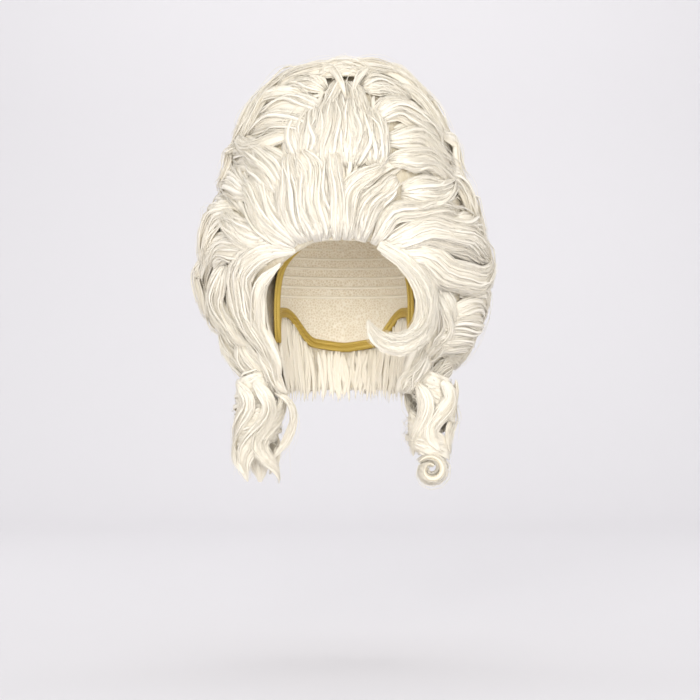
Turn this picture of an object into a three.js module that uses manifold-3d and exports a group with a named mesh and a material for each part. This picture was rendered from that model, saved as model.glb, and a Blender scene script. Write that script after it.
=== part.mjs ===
// A tall powdered wig in the manner of the 1770s. A net cap, bound with a gold tape, carries the
// hair. The hair is swept up from the brow over a backcombed core, falls in curls from a high
// crown, waves back round the temples, hooks over one cheek and ends in a ringlet on each side.
//
// Millimetres, +Z up. The origin is the inside of the cap's crown, where the top of a head touches
// it. The face looks along -Y, and +X is to the right of someone who looks at the face.

import * as THREE from "three";
import { mergeVertices } from "three/addons/utils/BufferGeometryUtils.js";
import Module from "manifold-3d";

const wasm = await Module();
wasm.setup();

// The head that the cap is made for.
const HEAD_WIDTH = 150;
const HEAD_LENGTH = 190;
const CROWN_DEPTH = 95; // crown down to the widest part of the head
const NECK_WIDTH = 128;
const NECK_BACK = 74; // from the origin's axis back to the nape
const HAIRLINE_DROP = 38; // crown down to the cap's edge on the brow

// The cap and its binding.
const CAP_WALL = 1.6;
const TAB_DROP = 150; // crown down to the end of the tab before each ear
const NAPE_DROP = 158; // crown down to the cap's edge at the nape
const TAPE_WIDTH = 9;
const TAPE_WALL = 1.8;

// The hair.
const PILE_HEIGHT = 150; // crown up to the top of the backcombed core
const PEAK_BACK = 8; // the core's peak lies this far behind the crown
const HAIR_DROP = 203; // crown down to the core's lower edge
const SIDE_HAIR_DEPTH = 76; // how far the core stands off the head at the sides
const BROW_HAIR_DEPTH = 17; // and over the brow
const BACK_HAIR_DEPTH = 60; // and behind
const HAIRLINE_COVER = 4; // the hair hangs this far below the cap's edge on the brow
const LEFT_TEMPLE_EASE = 9; // the hair stands this far off the left side of the face
const RIGHT_TEMPLE_EASE = 2;
const FACE_BACK = -4; // the opening for the face reaches back to here
const TOP_PAD_RISE = 12; // crown up to the underside of the core's top pad
const BACK_PAD_START = 50; // the head's middle back to the pad behind it
const LOCK_WIDTH = 36;
const LOCK_HEIGHT = 11; // how far a lock stands off the core
const LOCK_BASE = 1.5; // how far its underside does
const LOCK_OVERLAP = 0.9; // a lock lies this much over its neighbour
const CHEEK_WIDTH = 25;
const CHEEK_THICKNESS = 13;
const RINGLET_SPREAD = 20; // the side of the head out to a ringlet's axis
const RINGLET_AHEAD = 5; // and the head's middle forward to it
const RINGLET_DROP = 105; // core's lower edge down to a ringlet's end
const RINGLET_WIDTH = 52;
const RINGLET_RIBBON = 36; // width of the flat lock that a ringlet is wound from
const RINGLET_THICKNESS = 11;
const RINGLET_TURNS = 2.4;
const ROLL_WIDTH = 42; // the roll at the right ringlet's end, across
const ROLL_DEPTH = 36; // and from front to back
const ROLL_THICKNESS = 7; // the lock that it is rolled from
const STRAY_WIDTH = 9; // the thin lock beside the left ringlet

const GAP = 0.4; // between pieces that touch

// How finely the surfaces are cut into facets.
const CAP_STATIONS = 32;
const CAP_ROWS = 6;
const CORE_STATIONS = 28;
const CORE_BANDS = 12;
const FREE_LOCK_SIDES = 6;
const LOCK_STEPS = 6;
const RINGLET_STEPS = 26;
const ROUTE_SCALE = 180; // a lock's whole fall weighs as much as this many degrees in its curve

const halfWidth = HEAD_WIDTH / 2;
const halfLength = HEAD_LENGTH / 2;
const ringletOut = halfWidth + RINGLET_SPREAD;
const ringletEnd = -HAIR_DROP - RINGLET_DROP;
const ringletRadius = (RINGLET_WIDTH - RINGLET_THICKNESS) / 2;
const radians = THREE.MathUtils.degToRad;
const mix = THREE.MathUtils.lerp;

// Reads a table's column at a place between two rows, on a smooth curve through the rows.
function readSmooth(rows, key, column, at) {
  const last = rows.length - 1;
  let i = 0;
  while (i < last - 1 && rows[i + 1][key] < at) i += 1;
  const a = rows[i];
  const b = rows[i + 1];
  const before = rows[Math.max(i - 1, 0)];
  const after = rows[Math.min(i + 2, last)];
  const t = (at - a[key]) / (b[key] - a[key]);
  const span = b[key] - a[key];
  const slopeIn = ((b[column] - before[column]) / (b[key] - before[key])) * span;
  const slopeOut = ((after[column] - a[column]) / (after[key] - a[key])) * span;
  const t2 = t * t;
  const t3 = t2 * t;
  return (
    a[column] * (2 * t3 - 3 * t2 + 1) +
    slopeIn * (t3 - 2 * t2 + t) +
    b[column] * (3 * t2 - 2 * t3) +
    slopeOut * (t3 - t2)
  );
}

// Reads a table's column in straight lines between its rows.
function readStraight(rows, key, column, at) {
  const last = rows.length - 1;
  let i = 0;
  while (i < last - 1 && rows[i + 1][key] < at) i += 1;
  const share = (at - rows[i][key]) / (rows[i + 1][key] - rows[i][key]);
  return mix(rows[i][column], rows[i + 1][column], THREE.MathUtils.clamp(share, 0, 1));
}

// Solids

// A solid from points and triangles whose shared points are already one.
function solidFrom(points, triangles) {
  const geometry = new THREE.BufferGeometry().setFromPoints(points);
  geometry.setIndex(triangles);
  const merged = mergeVertices(geometry, 1e-4);
  const mesh = new wasm.Mesh({
    numProp: 3,
    vertProperties: merged.attributes.position.array,
    triVerts: new Uint32Array(merged.index.array),
  });
  const solid = new wasm.Manifold(mesh);
  if (solid.volume() < 0) throw new Error("a surface faces inwards");
  return solid;
}

function blockSolid(low, high) {
  const [x, y, z] = high.map((end, i) => end - low[i]);
  const block = new THREE.BoxGeometry(x, y, z);
  block.translate(low[0] + x / 2, low[1] + y / 2, low[2] + z / 2);
  block.deleteAttribute("normal");
  block.deleteAttribute("uv");
  const merged = mergeVertices(block);
  const corners = merged.attributes.position;
  const points = Array.from({ length: corners.count }, (_, i) =>
    new THREE.Vector3().fromBufferAttribute(corners, i),
  );
  return solidFrom(points, [...merged.index.array]);
}

// The triangles between rings of equal length, each ring closed on itself.
function bandTriangles(rings, count, closed = false) {
  const triangles = [];
  const bands = closed ? rings : rings - 1;
  for (let r = 0; r < bands; r += 1) {
    const here = r * count;
    const next = ((r + 1) % rings) * count;
    for (let k = 0; k < count; k += 1) {
      const k1 = (k + 1) % count;
      triangles.push(here + k, here + k1, next + k1);
      triangles.push(here + k, next + k1, next + k);
    }
  }
  return triangles;
}

// A closed solid lofted through rings, with a pole before the first and after the last.
function loftSolid(firstPole, rings, lastPole) {
  const count = rings[0].length;
  const points = [...rings.flat(), firstPole, lastPole];
  const triangles = bandTriangles(rings.length, count);
  const first = rings.length * count;
  const lastRing = (rings.length - 1) * count;
  for (let k = 0; k < count; k += 1) {
    const k1 = (k + 1) % count;
    triangles.push(first, k1, k);
    triangles.push(first + 1, lastRing + k, lastRing + k1);
  }
  return solidFrom(points, triangles);
}

// The largest body of a solid: slivers that a cut leaves beside it are dropped.
function mainBody(solid) {
  const bodies = solid.decompose();
  return bodies.reduce((best, body) => (body.volume() > best.volume() ? body : best));
}

// The head

// The head's half width and its reach to the front and back, at a height below the crown.
function headRing(z) {
  if (z > -CROWN_DEPTH) {
    const up = THREE.MathUtils.clamp((z + CROWN_DEPTH) / CROWN_DEPTH, 0, 1);
    const share = (1 - up ** 2.5) ** 0.4;
    return { side: halfWidth * share, front: halfLength * share, back: halfLength * share };
  }
  const down = (-CROWN_DEPTH - z) / (HAIR_DROP - CROWN_DEPTH);
  const taper = Math.min(down, 1) ** 1.5;
  return {
    side: mix(halfWidth, NECK_WIDTH / 2, taper),
    front: halfLength,
    back: mix(halfLength, NECK_BACK, taper),
  };
}

// A point of an oval ring. Azimuth 0 is the front, and 90 is towards +X.
function ringPoint({ side, front, back }, azimuth, z, off = 0) {
  const a = radians(azimuth);
  const middle = (back - front) / 2;
  const reach = (back + front) / 2;
  return new THREE.Vector3(
    (side + off) * Math.sin(a),
    middle - (reach + off) * Math.cos(a),
    z,
  );
}

// The cap's edge, as shares of the way down from the hairline to the tab or the nape.
const CAP_EDGE = [
  { azimuth: 0, tab: 0, nape: 0 },
  { azimuth: 27, tab: 0, nape: 0 },
  { azimuth: 40, tab: 0.07, nape: 0 },
  { azimuth: 54, tab: 0.18, nape: 0 },
  { azimuth: 68, tab: 0.34, nape: 0 },
  { azimuth: 77, tab: 0.66, nape: 0 },
  { azimuth: 84, tab: 1, nape: 0 },
  { azimuth: 92, tab: 1, nape: 0 },
  { azimuth: 102, tab: 0.72, nape: 0 },
  { azimuth: 124, tab: 0.72, nape: 0 },
  { azimuth: 146, tab: 0.2, nape: 0.76 },
  { azimuth: 180, tab: 0, nape: 1 },
];

function capEdgeDrop(azimuth) {
  const from = Math.abs(THREE.MathUtils.euclideanModulo(azimuth + 180, 360) - 180);
  const tab = readStraight(CAP_EDGE, "azimuth", "tab", from);
  const nape = readStraight(CAP_EDGE, "azimuth", "nape", from);
  return HAIRLINE_DROP + tab * (TAB_DROP - HAIRLINE_DROP) + nape * (NAPE_DROP - HAIRLINE_DROP);
}

// A point on the head, a share of the way from the crown to the cap's edge and past it.
function capPoint(azimuth, share, off) {
  const edge = capEdgeDrop(azimuth);
  const turned = edge < CROWN_DEPTH ? Math.acos(1 - edge / CROWN_DEPTH) : Math.PI / 2;
  const straight = Math.max(edge - CROWN_DEPTH, 0) / CROWN_DEPTH;
  const along = share * (turned + straight);
  const drop =
    along < Math.PI / 2
      ? CROWN_DEPTH * (1 - Math.cos(along))
      : CROWN_DEPTH * (1 + along - Math.PI / 2);
  const z = -drop;
  const lift = off * Math.max(0, Math.cos(along));
  return ringPoint(headRing(z), azimuth, z + lift, off * Math.min(1, Math.sin(along) + 0.02));
}

// The cap is a thin dome, open below: its inside lies on the head.
function capSolid(inner, outer, reach = 1) {
  const wall = (off, row) =>
    Array.from({ length: CAP_STATIONS }, (_, k) =>
      capPoint((360 * k) / CAP_STATIONS, (row / CAP_ROWS) * reach, off),
    );
  const rings = [];
  for (let row = 1; row <= CAP_ROWS; row += 1) rings.push(wall(outer, row));
  for (let row = CAP_ROWS; row >= 1; row -= 1) rings.push(wall(inner, row));
  return loftSolid(capPoint(0, 0, outer), rings.map((r) => r.reverse()), capPoint(0, 0, inner));
}

// A bar that runs round the cap's edge and holds it. The tape is this bar less the cap.
function tapeBar(grow) {
  const top = -TAPE_WIDTH - grow;
  const foot = GAP + TAPE_WALL + grow;
  const inside = -GAP - TAPE_WALL - grow;
  const outside = CAP_WALL + GAP + TAPE_WALL + grow;
  const rings = [];
  for (let k = 0; k < CAP_STATIONS; k += 1) {
    const azimuth = (360 * k) / CAP_STATIONS;
    const edge = capPoint(azimuth, 1, 0);
    const above = capPoint(azimuth, 1 - 1 / CAP_ROWS, 0);
    const along = capPoint(azimuth + 4, 1, 0).sub(capPoint(azimuth - 4, 1, 0)).normalize();
    const out = new THREE.Vector3().crossVectors(edge.clone().sub(above), along).normalize();
    const off = new THREE.Vector3().crossVectors(along, out).normalize();
    const corner = (a, b) => edge.clone().addScaledVector(out, a).addScaledVector(off, b);
    rings.push([
      corner(outside, top),
      corner(outside, foot),
      corner(inside, foot),
      corner(inside, top),
    ]);
  }
  return solidFrom(rings.flat(), bandTriangles(rings.length, 4, true));
}

// The hair's core

// Sections of the backcombed core from the peak down. Level is a share of PILE_HEIGHT above the
// crown, or of HAIR_DROP below it. The reaches are shares of the fullest ones.
const CORE_SECTIONS = [
  { fall: 0.1, level: 0.94, side: 0.305, front: 0.36, back: 0.36 },
  { fall: 0.2, level: 0.76, side: 0.543, front: 0.7, back: 0.595 },
  { fall: 0.3, level: 0.507, side: 0.695, front: 0.92, back: 0.755 },
  { fall: 0.4, level: 0.233, side: 0.781, front: 1, back: 0.85 },
  { fall: 0.5, level: -0.03, side: 0.9, front: 0.964, back: 0.935 },
  { fall: 0.6, level: -0.246, side: 0.993, front: 0.848, back: 0.994 },
  { fall: 0.7, level: -0.468, side: 0.987, front: 0.67, back: 1 },
  { fall: 0.8, level: -0.68, side: 0.9, front: 0.554, back: 0.916 },
  { fall: 0.9, level: -0.862, side: 0.735, front: 0.446, back: 0.76 },
  { fall: 1, level: -1, side: 0.596, front: 0.357, back: 0.632 },
];
const CORE_ROWS = [
  { fall: 0, z: PILE_HEIGHT, side: 0, front: -PEAK_BACK, back: PEAK_BACK },
  ...CORE_SECTIONS.map(({ fall, level, side, front, back }) => ({
    fall,
    z: level * (level > 0 ? PILE_HEIGHT : HAIR_DROP),
    side: side * (halfWidth + SIDE_HAIR_DEPTH),
    front: front * (halfLength + BROW_HAIR_DEPTH),
    back: back * (halfLength + BACK_HAIR_DEPTH),
  })),
];

// A point on the core's surface.
function corePoint(azimuth, fall) {
  const read = (column) => readSmooth(CORE_ROWS, "fall", column, fall);
  const ring = { side: read("side"), front: read("front"), back: read("back") };
  return ringPoint(ring, azimuth, read("z"));
}

// The direction in which the core's surface faces.
function coreNormal(azimuth, fall) {
  const at = THREE.MathUtils.clamp(fall, 0.02, 0.98);
  const across = corePoint(azimuth + 1, at).sub(corePoint(azimuth - 1, at));
  const down = corePoint(azimuth, at + 0.01).sub(corePoint(azimuth, at - 0.01));
  return new THREE.Vector3().crossVectors(down, across).normalize();
}

function coreMass(grow) {
  const rings = [];
  for (let row = 1; row <= CORE_BANDS; row += 1) {
    const fall = row / CORE_BANDS;
    rings.push(
      Array.from({ length: CORE_STATIONS }, (_, k) => {
        const azimuth = (-360 * k) / CORE_STATIONS;
        return corePoint(azimuth, fall).addScaledVector(coreNormal(azimuth, fall), grow);
      }),
    );
  }
  const foot = new THREE.Vector3(0, PEAK_BACK, -HAIR_DROP - grow);
  return loftSolid(new THREE.Vector3(0, PEAK_BACK, PILE_HEIGHT + grow), rings, foot);
}

// The room for the head and the cap inside the hair, open below.
function headRoom(off) {
  const rings = [];
  const ring = (place) =>
    Array.from({ length: CAP_STATIONS }, (_, k) => place((-360 * k) / CAP_STATIONS));
  for (let row = 1; row <= CAP_ROWS; row += 1) {
    rings.push(ring((azimuth) => capPoint(azimuth, row / CAP_ROWS, off)));
  }
  const floor = -HAIR_DROP - LOCK_WIDTH / 2;
  for (const share of [0.35, 0.7, 1]) {
    rings.push(
      ring((azimuth) => {
        const z = mix(-capEdgeDrop(azimuth), floor, share);
        return ringPoint(headRing(z), azimuth, z, off);
      }),
    );
  }
  return loftSolid(capPoint(0, 0, off), rings, new THREE.Vector3(0, 0, floor));
}

// The opening for the face, as seen from the front. Drop is a share of the way from the hairline to
// the core's lower edge, half is a share of the head's half width, and ease is a share of the room
// that the hair leaves at the temples.
const FACE_OUTLINE = [
  { drop: 0, half: 0.4, ease: 0 },
  { drop: 0.05, half: 0.56, ease: 0.1 },
  { drop: 0.11, half: 0.76, ease: 0.35 },
  { drop: 0.19, half: 0.91, ease: 0.7 },
  { drop: 0.29, half: 1.01, ease: 1 },
  { drop: 0.39, half: 1.03, ease: 1 },
  { drop: 0.55, half: 1.01, ease: 0.9 },
  { drop: 0.67, half: 0.96, ease: 0.4 },
  { drop: 0.8, half: 0.88, ease: 0.2 },
  { drop: 0.98, half: 0.83, ease: 0 },
  { drop: 1.4, half: 0.83, ease: 0 },
];

function faceRoom() {
  const hairline = HAIRLINE_DROP + HAIRLINE_COVER;
  const edge = (side, temple) =>
    FACE_OUTLINE.map(({ drop, half, ease }) => [
      side * (half * halfWidth + ease * temple),
      -hairline - drop * (HAIR_DROP - hairline),
    ]);
  const outline = [...edge(-1, LEFT_TEMPLE_EASE), ...edge(1, RIGHT_TEMPLE_EASE).reverse()];
  const ring = (y) => outline.map(([x, z]) => new THREE.Vector3(x, y, z));
  const middle = (y) => new THREE.Vector3(0, y, -CROWN_DEPTH);
  const front = -2 * (halfLength + BROW_HAIR_DEPTH);
  return loftSolid(middle(FACE_BACK), [ring(FACE_BACK), ring(front)], middle(front));
}

// Locks

// How wide a lock is along its length: gathered at the root, full in the middle, fine at the tip.
const LOCK_SHAPE = [
  { along: 0, width: 0.5 },
  { along: 0.3, width: 1 },
  { along: 0.7, width: 0.95 },
  { along: 1, width: 0.3 },
];

// A solid with a lens-shaped section, swept along stations of a place and a facing.
function sweepSolid(stations, width, thickness, grow, shape = LOCK_SHAPE) {
  const last = stations.length - 1;
  const rings = stations.map(({ place, facing }, i) => {
    const before = stations[Math.max(i - 1, 0)].place;
    const after = stations[Math.min(i + 1, last)].place;
    const along = after.clone().sub(before).normalize();
    const across = new THREE.Vector3().crossVectors(along, facing).normalize();
    const out = new THREE.Vector3().crossVectors(across, along).normalize();
    const full = readStraight(shape, "along", "width", i / last);
    const half = (width / 2) * full + grow;
    const deep = (thickness / 2) * Math.sqrt(full) + grow;
    return Array.from({ length: FREE_LOCK_SIDES }, (_, k) => {
      const turn = (-2 * Math.PI * k) / FREE_LOCK_SIDES;
      return place
        .clone()
        .addScaledVector(across, half * Math.cos(turn))
        .addScaledVector(out, deep * Math.sin(turn));
    });
  });
  const end = (i, j) => {
    const step = stations[i].place.clone().sub(stations[j].place);
    return stations[i].place.clone().addScaledVector(step.normalize(), thickness / 4 + grow);
  };
  return loftSolid(end(0, 1), rings, end(last, last - 1));
}

// The change of azimuth and fall that moves a point of the core's surface by a given step.
function surfaceStep(azimuth, fall, step) {
  const byAzimuth = corePoint(azimuth + 1, fall).sub(corePoint(azimuth - 1, fall)).divideScalar(2);
  const byFall = corePoint(azimuth, fall + 0.01).sub(corePoint(azimuth, fall - 0.01)).divideScalar(0.02);
  const aa = byAzimuth.dot(byAzimuth);
  const af = byAzimuth.dot(byFall);
  const ff = byFall.dot(byFall);
  const a = byAzimuth.dot(step);
  const f = byFall.dot(step);
  const scale = aa * ff - af * af;
  return [(a * ff - f * af) / scale, (f * aa - a * af) / scale];
}

// The arched section of a lock that lies on the core, from one edge over the top to the other.
const ARCH = [
  { across: -1, up: 0 },
  { across: -0.5, up: 0.95 },
  { across: 0.5, up: 0.95 },
  { across: 1, up: 0 },
];

// A lock laid on the core: its route is given by azimuths, falls and lifts. Neighbours lie at
// slightly different depths, one over the other.
function lockSolid({ azimuths, falls, lifts = [0], width = 1, high = 1 }, order, grow) {
  const last = azimuths.length - 1;
  const knots = azimuths.map(
    (azimuth, i) =>
      new THREE.Vector3(azimuth, falls[i] * ROUTE_SCALE, lifts[Math.min(i, lifts.length - 1)]),
  );
  const route = new THREE.CatmullRomCurve3(knots, false, "centripetal");
  const steps = Math.max(LOCK_STEPS, 2 * last);
  const stations = route.getPoints(steps).map((at) => {
    const azimuth = at.x;
    const fall = at.y / ROUTE_SCALE;
    const facing = coreNormal(azimuth, fall);
    const place = corePoint(azimuth, fall);
    return { azimuth, fall, lift: at.z * LOCK_HEIGHT, facing, place };
  });
  const base = LOCK_BASE + (order % 3) * LOCK_OVERLAP;
  const onCore = (azimuth, fall, up) =>
    corePoint(azimuth, fall).addScaledVector(coreNormal(azimuth, fall), base + up);
  const rings = stations.map(({ azimuth, fall, lift, facing }, i) => {
    const before = stations[Math.max(i - 1, 0)].place;
    const after = stations[Math.min(i + 1, steps)].place;
    const across = after.clone().sub(before).cross(facing).normalize();
    const full = readStraight(LOCK_SHAPE, "along", "width", i / steps);
    const half = (width * LOCK_WIDTH * full) / 2 + grow;
    const tall = high * LOCK_HEIGHT * Math.sqrt(full) + grow;
    return ARCH.map((point) => {
      const step = across.clone().multiplyScalar(point.across * half);
      const [da, df] = surfaceStep(azimuth, fall, step);
      return onCore(azimuth + da, fall + df, lift + point.up * tall - (point.up ? 0 : grow));
    });
  });
  const end = (i, j) => {
    const step = stations[i].place.clone().sub(stations[j].place).normalize();
    const reach = (width * LOCK_WIDTH) / 8 + grow;
    const [da, df] = surfaceStep(stations[i].azimuth, stations[i].fall, step.multiplyScalar(reach));
    const up = stations[i].lift + (high * LOCK_HEIGHT) / 4;
    return onCore(stations[i].azimuth + da, stations[i].fall + df, up);
  };
  return loftSolid(end(0, 1), rings, end(steps, steps - 1));
}

// Routes of the locks. Azimuths are degrees from the middle of the face, falls are shares of the way
// down the core, lifts and high are shares of LOCK_HEIGHT, and width is a share of LOCK_WIDTH.
// A weft is the narrow strip that the locks of a group are sewn to.
const LOCKS = {
  hairline_fan: [
    { azimuths: [-9, -13, -17, -24], falls: [0.582, 0.5, 0.41, 0.35] },
    { azimuths: [-16, -23, -27, -30], falls: [0.585, 0.5, 0.42, 0.36] },
    { azimuths: [-2, -3, -4, -8], falls: [0.58, 0.48, 0.4, 0.36], width: 0.5, high: 0.8 },
    { azimuths: [1, 3, 8, 22], falls: [0.58, 0.48, 0.43, 0.4], width: 0.7 },
    { azimuths: [6, 12, 20, 27], falls: [0.582, 0.49, 0.45, 0.43], width: 0.7 },
    { azimuths: [-18, -6, 6, 13], falls: [0.572, 0.57, 0.57, 0.572], width: 0.6, high: 0.6 }, // weft
  ],
  left_front_sweep: [
    { azimuths: [-20, -33, -45, -58], falls: [0.595, 0.53, 0.46, 0.42], width: 1.25 },
    { azimuths: [-32, -45, -55, -68], falls: [0.59, 0.565, 0.54, 0.5], width: 0.9 },
    { azimuths: [-27, -37, -50, -68], falls: [0.47, 0.41, 0.37, 0.35], width: 1.1, high: 0.8 },
  ],
  right_front_sweep: [
    { azimuths: [12, 20, 32, 48, 62], falls: [0.59, 0.52, 0.505, 0.5, 0.51], width: 0.7 },
    { azimuths: [28, 42, 55, 70], falls: [0.46, 0.46, 0.45, 0.43], width: 0.9 },
    { azimuths: [17, 32, 52, 75, 92], falls: [0.595, 0.555, 0.56, 0.59, 0.62] },
    { azimuths: [31, 33, 35], falls: [0.56, 0.5, 0.45], width: 0.4, high: 0.5 }, // weft
  ],
  right_crown_sweep: [
    { azimuths: [24, 45, 60, 78], falls: [0.33, 0.32, 0.36, 0.4], width: 0.8 },
    { azimuths: [18, 36, 52, 72], falls: [0.27, 0.25, 0.28, 0.32], width: 0.8 },
    { azimuths: [24, 38, 52, 70], falls: [0.385, 0.375, 0.39, 0.45], width: 0.7 },
    { azimuths: [46, 47, 48], falls: [0.25, 0.32, 0.39], width: 0.4, high: 0.5 }, // weft
  ],
  right_temple_bowl: [
    {
      azimuths: [20, 33, 46, 62, 80, 96],
      falls: [0.605, 0.615, 0.65, 0.665, 0.65, 0.61],
      lifts: [0.1, 0.2, 0.3, 0.4, 0.5, 0.8],
      width: 0.9,
    },
  ],
  right_barrel_curl: [
    {
      azimuths: [58, 82, 100, 86, 60],
      falls: [0.7, 0.7, 0.78, 0.865, 0.86],
      lifts: [0.2, 0.35, 0.4, 0.3, 0.2],
      width: 0.7,
    },
  ],
  left_temple_lock: [
    {
      azimuths: [-20, -36, -46, -46, -41, -38],
      falls: [0.605, 0.6, 0.66, 0.74, 0.83, 0.9],
      width: 0.85,
    },
  ],
  crown_curls: [
    {
      azimuths: [-25, -50, -77, -84, -64, -40, -22],
      falls: [0.2, 0.19, 0.225, 0.29, 0.345, 0.33, 0.31],
      lifts: [0.2, 0.3, 0.4, 0.4, 0.3, 0.2],
      width: 0.55,
    },
    { azimuths: [-78, -52, -20, 6], falls: [0.18, 0.13, 0.11, 0.12], lifts: [0.3], width: 0.7 },
    { azimuths: [-4, 30, 62, 70], falls: [0.12, 0.1, 0.13, 0.21], lifts: [0.35], width: 0.7 },
    { azimuths: [2, -8, -12], falls: [0.14, 0.21, 0.28], width: 0.45, high: 0.8 },
    { azimuths: [4, 9, 15], falls: [0.15, 0.22, 0.3], width: 0.45, high: 0.8 },
    { azimuths: [-14, -34, -54], falls: [0.175, 0.16, 0.17], width: 0.8, high: 0.8 },
    { azimuths: [14, 32, 56], falls: [0.17, 0.17, 0.21], width: 0.9, high: 0.8 },
    { azimuths: [-9, -7, -5], falls: [0.41, 0.31, 0.2], width: 1.1, high: 0.6 },
    { azimuths: [5, 6, 6], falls: [0.4, 0.31, 0.21], high: 0.6 },
    { azimuths: [-24, -24, -20], falls: [0.38, 0.31, 0.23], width: 1.1, high: 0.6 },
    { azimuths: [16, 17, 15], falls: [0.4, 0.32, 0.24], width: 0.9, high: 0.6 },
    { azimuths: [-40, -20, 0, 24], falls: [0.2, 0.19, 0.18, 0.19], width: 0.4, high: 0.6 }, // weft
  ],
  left_upper_waves: [
    { azimuths: [-52, -76, -98, -98, -82], falls: [0.35, 0.335, 0.37, 0.445, 0.48], width: 0.85 },
    { azimuths: [-64, -84, -96, -92], falls: [0.5, 0.5, 0.54, 0.62], width: 0.9 },
    { azimuths: [-70, -72, -76], falls: [0.35, 0.43, 0.5], width: 0.4, high: 0.5 }, // weft
  ],
  left_side_waves: [
    { azimuths: [-58, -80, -96, -93, -80], falls: [0.57, 0.61, 0.67, 0.745, 0.8] },
    { azimuths: [-58, -66, -61, -55], falls: [0.63, 0.7, 0.78, 0.84], width: 0.8 },
    { azimuths: [-88, -76, -62, -56], falls: [0.79, 0.88, 0.96, 1], width: 0.9 },
    { azimuths: [-60, -62, -58, -52], falls: [0.82, 0.88, 0.94, 1], width: 0.9 },
    { azimuths: [-64, -78, -90], falls: [0.68, 0.7, 0.71], width: 0.4, high: 0.5 }, // weft
    { azimuths: [-58, -72, -84], falls: [0.84, 0.85, 0.85], width: 0.4, high: 0.5 }, // weft
  ],
  right_upper_waves: [
    { azimuths: [72, 94, 106, 98, 80], falls: [0.4, 0.41, 0.49, 0.57, 0.59], width: 0.85 },
    { azimuths: [76, 95, 106, 104], falls: [0.29, 0.31, 0.37, 0.46], width: 0.9 },
  ],
  right_side_waves: [
    { azimuths: [44, 51, 52, 46], falls: [0.69, 0.76, 0.82, 0.88], width: 0.9 },
    { azimuths: [48, 43, 42], falls: [0.85, 0.92, 1], width: 0.8 },
    { azimuths: [82, 68, 58], falls: [0.86, 0.93, 1], width: 0.9 },
    { azimuths: [96, 103, 99, 88], falls: [0.64, 0.7, 0.78, 0.88], width: 0.85 },
    { azimuths: [46, 64, 86], falls: [0.88, 0.885, 0.88], width: 0.5, high: 0.6 }, // weft
  ],
};

// The sides and the back are dressed in loops: waves rise from the nape, and curls ring the crown.
for (const [name, side] of [["left_back_waves", -1], ["right_back_waves", 1]]) {
  LOCKS[name] = [
    {
      azimuths: [108, 118, 108, 118, 110].map((azimuth) => side * azimuth),
      falls: [0.28, 0.44, 0.6, 0.78, 0.95],
      width: 1.1,
    },
    {
      azimuths: [124, 134, 124, 134, 126].map((azimuth) => side * azimuth),
      falls: [0.3, 0.47, 0.63, 0.8, 0.97],
      width: 1.1,
    },
    {
      azimuths: [112, 118, 124].map((azimuth) => side * azimuth),
      falls: [0.52, 0.52, 0.52],
      width: 0.5,
      high: 0.6,
    }, // weft
  ];
}
LOCKS.back_waves = [];
for (let azimuth = 144; azimuth <= 216; azimuth += 14.4) {
  LOCKS.back_waves.push({
    azimuths: [4, -5, 4, -5, 2].map((sway) => azimuth + sway),
    falls: [0.9, 0.76, 0.62, 0.5, 0.4],
    width: 1.15,
  });
}
LOCKS.back_waves.push({
  azimuths: [151, 165, 180, 195, 209],
  falls: [0.66, 0.66, 0.66, 0.66, 0.66],
  width: 0.5,
  high: 0.6,
}); // weft
LOCKS.nape_curls = [];
for (let azimuth = 142; azimuth <= 218; azimuth += 19) {
  LOCKS.nape_curls.push({
    azimuths: [-4, 3, 2].map((sway) => azimuth + sway),
    falls: [0.88, 0.94, 1],
    width: 0.9,
  });
}
LOCKS.nape_curls.push({
  azimuths: [135, 180, 225],
  falls: [0.95, 0.95, 0.95],
  width: 0.5,
  high: 0.6,
}); // weft
LOCKS.crown_back_curls = [];
for (let azimuth = 90; azimuth <= 270; azimuth += 30) {
  LOCKS.crown_back_curls.push({
    azimuths: [-12, 6, 14, 2].map((sway) => azimuth + sway),
    falls: [0.06, 0.16, 0.27, 0.37],
    lifts: [0.2, 0.4, 0.4, 0.2],
    width: 1.25,
  });
}
LOCKS.crown_back_curls.push({
  azimuths: [82, 130, 180, 230, 278],
  falls: [0.2, 0.2, 0.2, 0.2, 0.2],
  width: 0.5,
  high: 0.6,
}); // weft

// The lock that hooks over the cheek. Out is a share of the head's half width, drop of HAIR_DROP
// and ahead of the head's half length.
const CHEEK_CURL = [
  { out: 0.5, drop: 0.222, ahead: 1 },
  { out: 0.92, drop: 0.31, ahead: 0.88 },
  { out: 1.16, drop: 0.44, ahead: 0.74 },
  { out: 1.2, drop: 0.58, ahead: 0.74 },
  { out: 1.04, drop: 0.7, ahead: 0.92 },
  { out: 0.74, drop: 0.75, ahead: 1.06 },
  { out: 0.45, drop: 0.71, ahead: 1.12 },
  { out: 0.33, drop: 0.62, ahead: 1.13 },
];

function cheekCurl(grow) {
  const knots = CHEEK_CURL.map(
    ({ out, drop, ahead }) =>
      new THREE.Vector3(out * halfWidth, -ahead * halfLength, -drop * HAIR_DROP),
  );
  const stations = new THREE.CatmullRomCurve3(knots, false, "centripetal")
    .getPoints(2 * LOCK_STEPS)
    .map((place) => ({ place, facing: new THREE.Vector3(0.6 * place.x, place.y, 0).normalize() }));
  return sweepSolid(stations, CHEEK_WIDTH, CHEEK_THICKNESS, grow);
}

// The thin lock's route: inward is a share of the ringlet's way out and down of RINGLET_DROP.
const STRAY_LOCK = [
  { inward: 0.2, down: 0 },
  { inward: 0.38, down: 0.12 },
  { inward: 0.42, down: 0.32 },
  { inward: 0.3, down: 0.56 },
  { inward: 0.17, down: 0.7 },
];

// The end roll keeps its width until its tip.
const ROLL_SHAPE = [
  { along: 0, width: 0.6 },
  { along: 0.2, width: 1 },
  { along: 1, width: 0.8 },
];

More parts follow.
